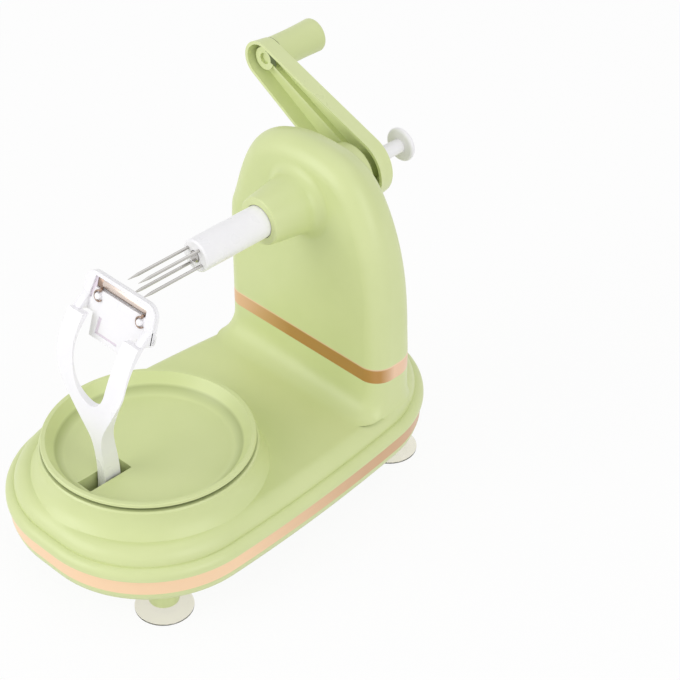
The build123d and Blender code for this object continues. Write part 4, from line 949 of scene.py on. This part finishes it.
@dataclass
class Yoke:
    """White yoke, blade head, studs and blade. The head's sizes are in mm, in its leaning frame."""

    head_place: Triple = (0.005245, -0.07865, 0.1186)
    head_lean: float = 17.0
    arm_crease: float = 40.0
    half: float = 24.2
    top: float = 40.5
    corner: float = 6.4
    corner_steps: int = 8
    shoulder_low: float = 20.6
    shoulder_round: float = 0.9
    wedge_front: float = 5.2
    wedge_foot: float = 1.2
    wedge_near: float = 19.4
    wedge_back: tuple[Point, ...] = ((0.6, 29.5), (3.0, 29.5), (3.0, 26.4), (4.2, 25.4))
    tongue_half: float = 15.6
    tongue_low: float = 8.6
    tongue_taper: float = 1.6
    layer: float = 1.3
    layer_round: float = 0.35
    thickness: float = 3.2
    back_round: float = 0.2
    window: tuple[float, float, float, float] = (-16.6, 18.2, 33.2, 38.3)
    pocket_left: float = -20.2
    pocket_low: float = 26.8
    pocket_width: float = 1.8
    pocket_lean: float = 2.6
    pocket_rise: float = 0.2
    pocket_floor: float = 0.95
    groove: tuple[Point, ...] = (
        (-12.1, 11.2), (3.4, 11.2), (3.4, 12.3), (-10.2, 12.3), (-9.0, 20.0), (-11.0, 20.0))
    groove_floor: float = 0.5
    floor_overlap: float = 0.2
    blade: tuple[float, float, float, float] = (-16.4, 18.0, 34.5, 38.0)
    blade_front: float = 0.9
    blade_back: float = 2.4
    blade_wall: float = 0.45
    blade_fold: float = 0.5
    blade_round: float = 0.08
    heel_left: float = 3.6
    heel_right: float = 1.0
    heel_round: float = 0.3
    edge_low: float = 33.5
    stud_x: float = 14.6
    stud_z: float = 30.0
    stud_shift: float = 1.4
    stud_r: float = 1.68
    stud_ends: Span = (-1.7, 0.6)
    stud_round: float = 0.45
    stud_steps: int = 23
    hook_gap: float = 0.58
    hook_wall: float = 0.7
    hook_turn: Span = (70.0, 330.0)
    hook_steps: int = 20
    hook_ends: Span = (-0.9, -0.15)
    hook_round: float = 0.15
    stem_reach: float = 0.6
    stem_back: float = 0.2
    stem_round: float = 0.12

    def build(self, shop: Workshop) -> None:
        """Dresses the yoke and makes its head.

        Args:
            shop: the workshop.
        """
        shop.skin("peeler_arm", "yoke", Finish.WHITE, self.arm_crease)
        self.build_head(shop)
        self.build_blade(shop)

    def head_outline(self) -> Outline:
        """The head's outline: a tongue below, shoulders and two round corners above.

        Returns:
            The outline, as (x, z).
        """
        outline = [(-self.tongue_half, self.tongue_low),
                   (self.tongue_half - self.tongue_taper, self.tongue_low),
                   (self.tongue_half, self.shoulder_low), (self.half, self.shoulder_low)]
        height = self.top - self.corner
        outline += arc((self.half - self.corner, height), self.corner, 0.0, 90.0, self.corner_steps)
        outline += arc((self.corner - self.half, height), self.corner, 90.0, 180.0, self.corner_steps)
        outline += [(-self.half, self.shoulder_low), (-self.tongue_half, self.shoulder_low)]
        return outline

    def build_head(self, shop: Workshop) -> None:
        """Makes the head in two layers, so that the pocket and the groove are sunk in the front one.

        Args:
            shop: the workshop.
        """
        left, right, low, high = self.window
        outline = self.head_outline()
        groove = list(self.groove)
        window = [(left, low), (right, low), (right, high), (left, high)]
        pocket_top = (self.pocket_left + self.pocket_lean, high + self.pocket_rise)
        foot_right = self.pocket_left + self.pocket_width
        pocket_foot = [(self.pocket_left, self.pocket_low), (foot_right, self.pocket_low)]
        sunk = [(left, low), (right, low), (right, high), pocket_top, *pocket_foot]
        pocket = [*pocket_foot, (left, low), (left, high), pocket_top]
        front = plate("head_front", outline, [sunk, groove], (0.0, self.layer), self.layer_round)
        back = plate("head_back", outline, [window], (self.layer, self.thickness), self.back_round)
        self.place_white(shop, front)
        self.place_white(shop, back)
        floor_back = self.layer + self.floor_overlap
        pocket_floor = prism("head_pocket", pocket, "Y", (self.pocket_floor, floor_back))
        groove_floor = prism("head_groove", groove, "Y", (self.groove_floor, floor_back))
        # The pocket and groove floors carry painted shade.
        self.place_white(shop, pocket_floor, Finish.RECESS_SHADE)
        self.place_white(shop, groove_floor, Finish.RECESS_SHADE)
        foot = (-self.wedge_front, self.shoulder_low)
        heel = (-self.wedge_front, self.shoulder_low + self.wedge_foot)
        wedge = [foot, heel, *self.wedge_back, (self.wedge_back[-1][0], self.shoulder_low)]
        for side, label in ((-1, "left"), (1, "right")):
            span = tuple(sorted((side * self.wedge_near, side * self.half)))
            self.place_white(shop, prism("head_shoulder_" + label, wedge, "X", span, self.shoulder_round))
            round_face = arc(self.stud_centre(side), self.stud_r, 0.0, 345.0, self.stud_steps)
            stud = prism("stud_" + label, round_face, "Y", self.stud_ends, self.stud_round)
            self.place(shop, stud, Finish.WHITE, "yoke", "blade_stud_" + label, "steel")

    def build_blade(self, shop: Workshop) -> None:
        """Makes the folded blade, its darker back and heels, and the two hooks round the studs.

        Args:
            shop: the workshop.
        """
        left, right, low, high = self.blade
        front, back, wall = self.blade_front, self.blade_back, self.blade_wall
        inside = front + wall
        middle = (low + high) / 2
        outer = [(front, low), (front - self.blade_fold, middle), (front, high), (back, high)]
        inner = [(back, high - wall), (inside, high - wall),
                 (inside - self.blade_fold, middle), (inside, low)]
        heel_end = left + self.heel_left
        band = prism("blade_band", outer + inner, "X", (heel_end, right), self.blade_round)
        self.place_steel(shop, band, Finish.BLADE)
        # The back wall takes the darker blade_edge finish: painted shade in the slit below the blade, over
        # its real shade.
        rear = [(back - wall, self.edge_low), (back, self.edge_low), (back, high), (back - wall, high)]
        self.place_steel(shop, prism("blade_back", rear, "X", (left, right), self.blade_round))
        heel = [(front, self.edge_low), (back, self.edge_low), (back, high), (front, high)]
        self.place_steel(shop, prism("blade_heel_left", heel, "X", (left, heel_end), self.heel_round))
        right_ends = (right - self.heel_right, right)
        self.place_steel(shop, prism("blade_heel_right", heel, "X", right_ends, self.heel_round))
        inner_r = self.stud_r + self.hook_gap
        outer_r = inner_r + self.hook_wall
        turn = math.radians(self.hook_turn[0])
        stem_low = self.stud_z + inner_r * math.sin(turn)
        stem_high = self.edge_low + self.stem_reach
        for side, label in ((-1, "left"), (1, "right")):
            centre = self.stud_centre(side)
            hook = arc(centre, outer_r, *self.hook_turn, self.hook_steps)
            hook += reversed(arc(centre, inner_r, *self.hook_turn, self.hook_steps))
            self.place_steel(shop, prism("blade_hook_" + label, hook, "Y", self.hook_ends, self.hook_round))
            x = centre[0] + outer_r * math.cos(turn)
            near_x = x - self.hook_wall
            far_x = x + self.stem_reach
            stem = [(near_x, stem_low), (x, stem_low), (far_x, stem_high), (near_x, stem_high)]
            stem_ends = (self.hook_ends[0], front - self.stem_back)
            self.place_steel(shop, prism("blade_stem_" + label, stem, "Y", stem_ends, self.stem_round))

    def stud_centre(self, side: int) -> Point:
        """Where a stud's axis meets the head.

        Args:
            side: -1 for the left stud and 1 for the right one.

        Returns:
            Its x and z.
        """
        return side * self.stud_x + self.stud_shift, self.stud_z

    def place_white(self, shop: Workshop, piece: Piece, finish: Finish = Finish.WHITE) -> None:
        """Puts a piece of the white head in place.

        Args:
            shop: the workshop.
            piece: the piece, built in the head's frame.
            finish: its finish.
        """
        self.place(shop, piece, finish, "yoke", "blade_carrier", "white")

    def place_steel(self, shop: Workshop, piece: Piece, finish: Finish = Finish.BLADE_EDGE) -> None:
        """Puts a piece of the blade in place.

        Args:
            shop: the workshop.
            piece: the piece, built in the head's frame.
            finish: its finish.
        """
        self.place(shop, piece, finish, "blade", "peeler_blade", "blade_steel")

    def place(self, shop: Workshop, piece: Piece, finish: Finish, body: str, node: str, slot: str) -> None:
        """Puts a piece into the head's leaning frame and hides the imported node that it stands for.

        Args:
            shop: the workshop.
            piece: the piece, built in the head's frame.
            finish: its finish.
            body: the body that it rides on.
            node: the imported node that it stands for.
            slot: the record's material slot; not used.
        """
        lean = Matrix.Rotation(math.radians(-self.head_lean), 4, "X")
        piece.data.transform(Matrix.Translation(Vector(self.head_place)) @ lean)
        shop.paint(piece, finish)
        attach(piece, body)
        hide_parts(node)
        LOG.info("%s is made, finish %s", piece.name, finish.name)


@dataclass
class Fork:
    """White sleeve, prongs, push-out tip and rod."""

    prongs: int = 4
    spring_seat: Triple = (0.005245, 0.07435, 0.1523)
    spring_keep: float = 0.28

    def build(self, shop: Workshop) -> None:
        """Dresses the fork.

        Args:
            shop: the workshop.
        """
        shop.skin("fork_sleeve", "crank", Finish.WHITE)
        for number in range(1, self.prongs + 1):
            shop.skin("fork_prong_" + str(number), "crank", Finish.STEEL)
        shop.skin("ejector_tip", "ejector", Finish.STEEL)
        shop.skin("push_rod", "ejector", Finish.WHITE)
        shop.skin("push_cap", "ejector", Finish.WHITE)
        shop.dress(["spindle"], Finish.STEEL)
        spring = shop.skin("ejector_spring", "crank", Finish.STEEL)
        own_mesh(spring)


@dataclass
class Crank:
    """Channel crank, grip, pin and clip, with two dark pieces of painted shade. The marks' radii and widths
    are in mm.
    """

    gap_place: Triple = (-0.063755, 0.0951, 0.185356)
    gap_radius: float = 9.25
    gap_steps: int = 47
    gap_ends: Span = (-0.18, 0.18)
    shade_place: Triple = (-0.063755, 0.0889, 0.185356)
    shade_radii: Span = (4.2, 8.9)
    shade_steps: int = 14
    shade_centre: Point = (0.7, 0.7)
    shade_ends: Span = (0.0, 0.3)

    def build(self, shop: Workshop) -> None:
        """Dresses the crank.

        Args:
            shop: the workshop.
        """
        shop.skin("crank_arm", "crank", Finish.CRANK_GREEN_LIT)
        shop.skin("crank_grip", "grip", Finish.GREEN)
        shop.dress(["hub_clip"], Finish.STEEL)
        shop.dress(["grip_pin"], Finish.CRANK_GREEN_LIT)
        # Two dark pieces of painted shade: a ring in the gap at the grip, a crescent in the hollow beside
        # the boss.
        ring = arc((0.0, 0.0), self.gap_radius, 0.0, 352.5, self.gap_steps)
        self.place_shade_mark(shop, prism("grip_gap_shade_ring", ring, "Y", self.gap_ends), self.gap_place)
        inner_r, outer_r = self.shade_radii
        crescent = arc((0.0, 0.0), outer_r, -8.0, 78.0, self.shade_steps)
        crescent += arc(self.shade_centre, inner_r, 84.0, -14.0, self.shade_steps)
        self.place_shade_mark(shop, prism("grip_boss_shade", crescent, "Y", self.shade_ends), self.shade_place)

    @staticmethod
    def place_shade_mark(shop: Workshop, piece: Piece, place: Triple) -> None:
        """Puts a dark piece of painted shade on the crank: in the gap at the grip, or in the hollow beside
        its boss.

        Args:
            shop: the workshop.
            piece: the mark, built round its own centre.
            place: where its centre goes, in metres.
        """
        piece.data.transform(Matrix.Translation(Vector(place)))
        shop.paint(piece, Finish.PAINTED_SHADE)
        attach(piece, "crank")
        LOG.info("%s is made, finish %s", piece.name, Finish.PAINTED_SHADE.name)


@dataclass
class GearTrain:
    """Gears, shafts, pins and screws inside the housing."""

    gears: tuple[str, ...] = (
        "idler_gear_a", "idler_gear_b", "upright_pinion", "driven_bevel", "drive_bevel")
    metal: tuple[str, ...] = (
        "upright_shaft", "idler_pin_a", "idler_pin_b", "tray_screws", "frame_screws", "cover_screws")

    def build(self, shop: Workshop) -> None:
        """Dresses the gear train.

        Args:
            shop: the workshop.
        """
        shop.dress(list(self.gears), Finish.GEAR)
        shop.dress(list(self.metal), Finish.STEEL)


@dataclass(frozen=True)
class Lamp:
    """One soft area lamp that looks at the peeler."""

    name: str
    place: Triple
    width: float
    height: float
    power: float

    def build(self, aim: Vector) -> Piece:
        """Makes the lamp.

        Args:
            aim: the point that it faces.

        Returns:
            The lamp.
        """
        light = bpy.data.lights.new(self.name, "AREA")
        light.shape = "RECTANGLE"
        light.size = self.width
        light.size_y = self.height
        light.energy = self.power
        lamp = add_piece(self.name, light)
        lamp.location = self.place
        lamp.rotation_euler = (aim - Vector(self.place)).to_track_quat("-Z", "Y").to_euler()
        return lamp


@dataclass
class Studio:
    """Pale floor, white surroundings, lamps and the camera of the photograph."""

    azimuth: float = 45.1
    elevation: float = 37.0
    distance: float = 1.1207
    target: Triple = (0.052355, 0.027542, 0.101867)
    lens: float = 122.55
    sensor: float = 36.0
    clip_end: float = 20.0
    floor_half: float = 3.0
    floor_grey: float = 0.9
    floor_lift: float = 0.92
    ambient: float = 0.6
    lamp_aim: Triple = (0.0, 0.0, 0.08)
    lamps: tuple[Lamp, ...] = field(default_factory=lambda: (
        Lamp("key_lamp", (-0.6, -1.35, 0.75), 1.2, 1.2, 11.0),
        Lamp("side_lamp", (1.5, -0.1, 0.8), 1.0, 1.2, 7.5),
        Lamp("top_lamp", (0.0, 0.4, 1.8), 1.4, 1.4, 3.0),
    ))

    def build(self) -> None:
        """Builds the whole studio."""
        self.build_floor()
        self.build_world()
        for lamp in self.lamps:
            lamp.build(Vector(self.lamp_aim))
            LOG.info("%s is lit", lamp.name)
        self.build_camera()
        bpy.context.scene.view_settings.view_transform = "Standard"

    def build_floor(self) -> None:
        """Plain pale floor that shows white and keeps the object's shadow."""
        half = self.floor_half
        mesh = bpy.data.meshes.new("floor")
        corners = [(-half, -half, 0), (half, -half, 0), (half, half, 0), (-half, half, 0)]
        mesh.from_pydata(corners, [], [(0, 1, 2, 3)])
        floor = add_piece("floor", mesh)
        material = bpy.data.materials.new("pale_floor")
        material.use_nodes = True
        material.node_tree.nodes.clear()
        sheet = Sheet(material.node_tree)
        matt = sheet.add("ShaderNodeBsdfDiffuse")
        matt.inputs["Color"].default_value = opaque((self.floor_grey, self.floor_grey, self.floor_grey))
        glow = sheet.add("ShaderNodeEmission")
        share = sheet.math("MULTIPLY", sheet.seen(), self.floor_lift)
        mix = sheet.add("ShaderNodeMixShader")
        sheet.join(share, mix.inputs["Fac"])
        sheet.join(matt.outputs["BSDF"], mix.inputs[1])
        sheet.join(glow.outputs["Emission"], mix.inputs[2])
        output = sheet.add("ShaderNodeOutputMaterial")
        sheet.join(mix.outputs["Shader"], output.inputs["Surface"])
        mesh.materials.append(material)

    def build_world(self) -> None:
        """White to the camera, to gloss and through clear plastic, and a plain level for light."""
        world = bpy.data.worlds.new("studio_world")
        bpy.context.scene.world = world
        world.use_nodes = True
        world.node_tree.nodes.clear()
        sheet = Sheet(world.node_tree)
        level = sheet.spread(sheet.seen(), (0.0, 1.0), (self.ambient, 1.0))
        back = sheet.add("ShaderNodeBackground")
        back.inputs["Color"].default_value = (1.0, 1.0, 1.0, 1.0)
        sheet.join(level, back.inputs["Strength"])
        output = sheet.add("ShaderNodeOutputWorld")
        sheet.join(back.outputs["Background"], output.inputs["Surface"])

    def build_camera(self) -> None:
        """Puts the camera where the photograph was taken from."""
        turn, rise = math.radians(self.azimuth), math.radians(self.elevation)
        back = Vector((math.sin(turn) * math.cos(rise), -math.cos(turn) * math.cos(rise), math.sin(rise)))
        data = bpy.data.cameras.new("photo_camera")
        data.sensor_width = self.sensor
        data.lens = self.lens
        data.clip_end = self.clip_end
        camera = add_piece("photo_camera", data)
        camera.location = Vector(self.target) + back * self.distance
        camera.rotation_euler = (-back).to_track_quat("-Z", "Y").to_euler()
        bpy.context.scene.camera = camera


def main() -> None:
    """Builds the classes in order."""
    logging.basicConfig(level=logging.INFO, format="%(message)s")
    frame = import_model()
    shop = Workshop(frame)
    for assembly in (Base(), Tower(), Turntable(), Yoke(), Fork(), Crank(), GearTrain()):
        assembly.build(shop)
        LOG.info("%s is dressed", type(assembly).__name__)
    Studio().build()


if __name__ == "__main__":
    main()
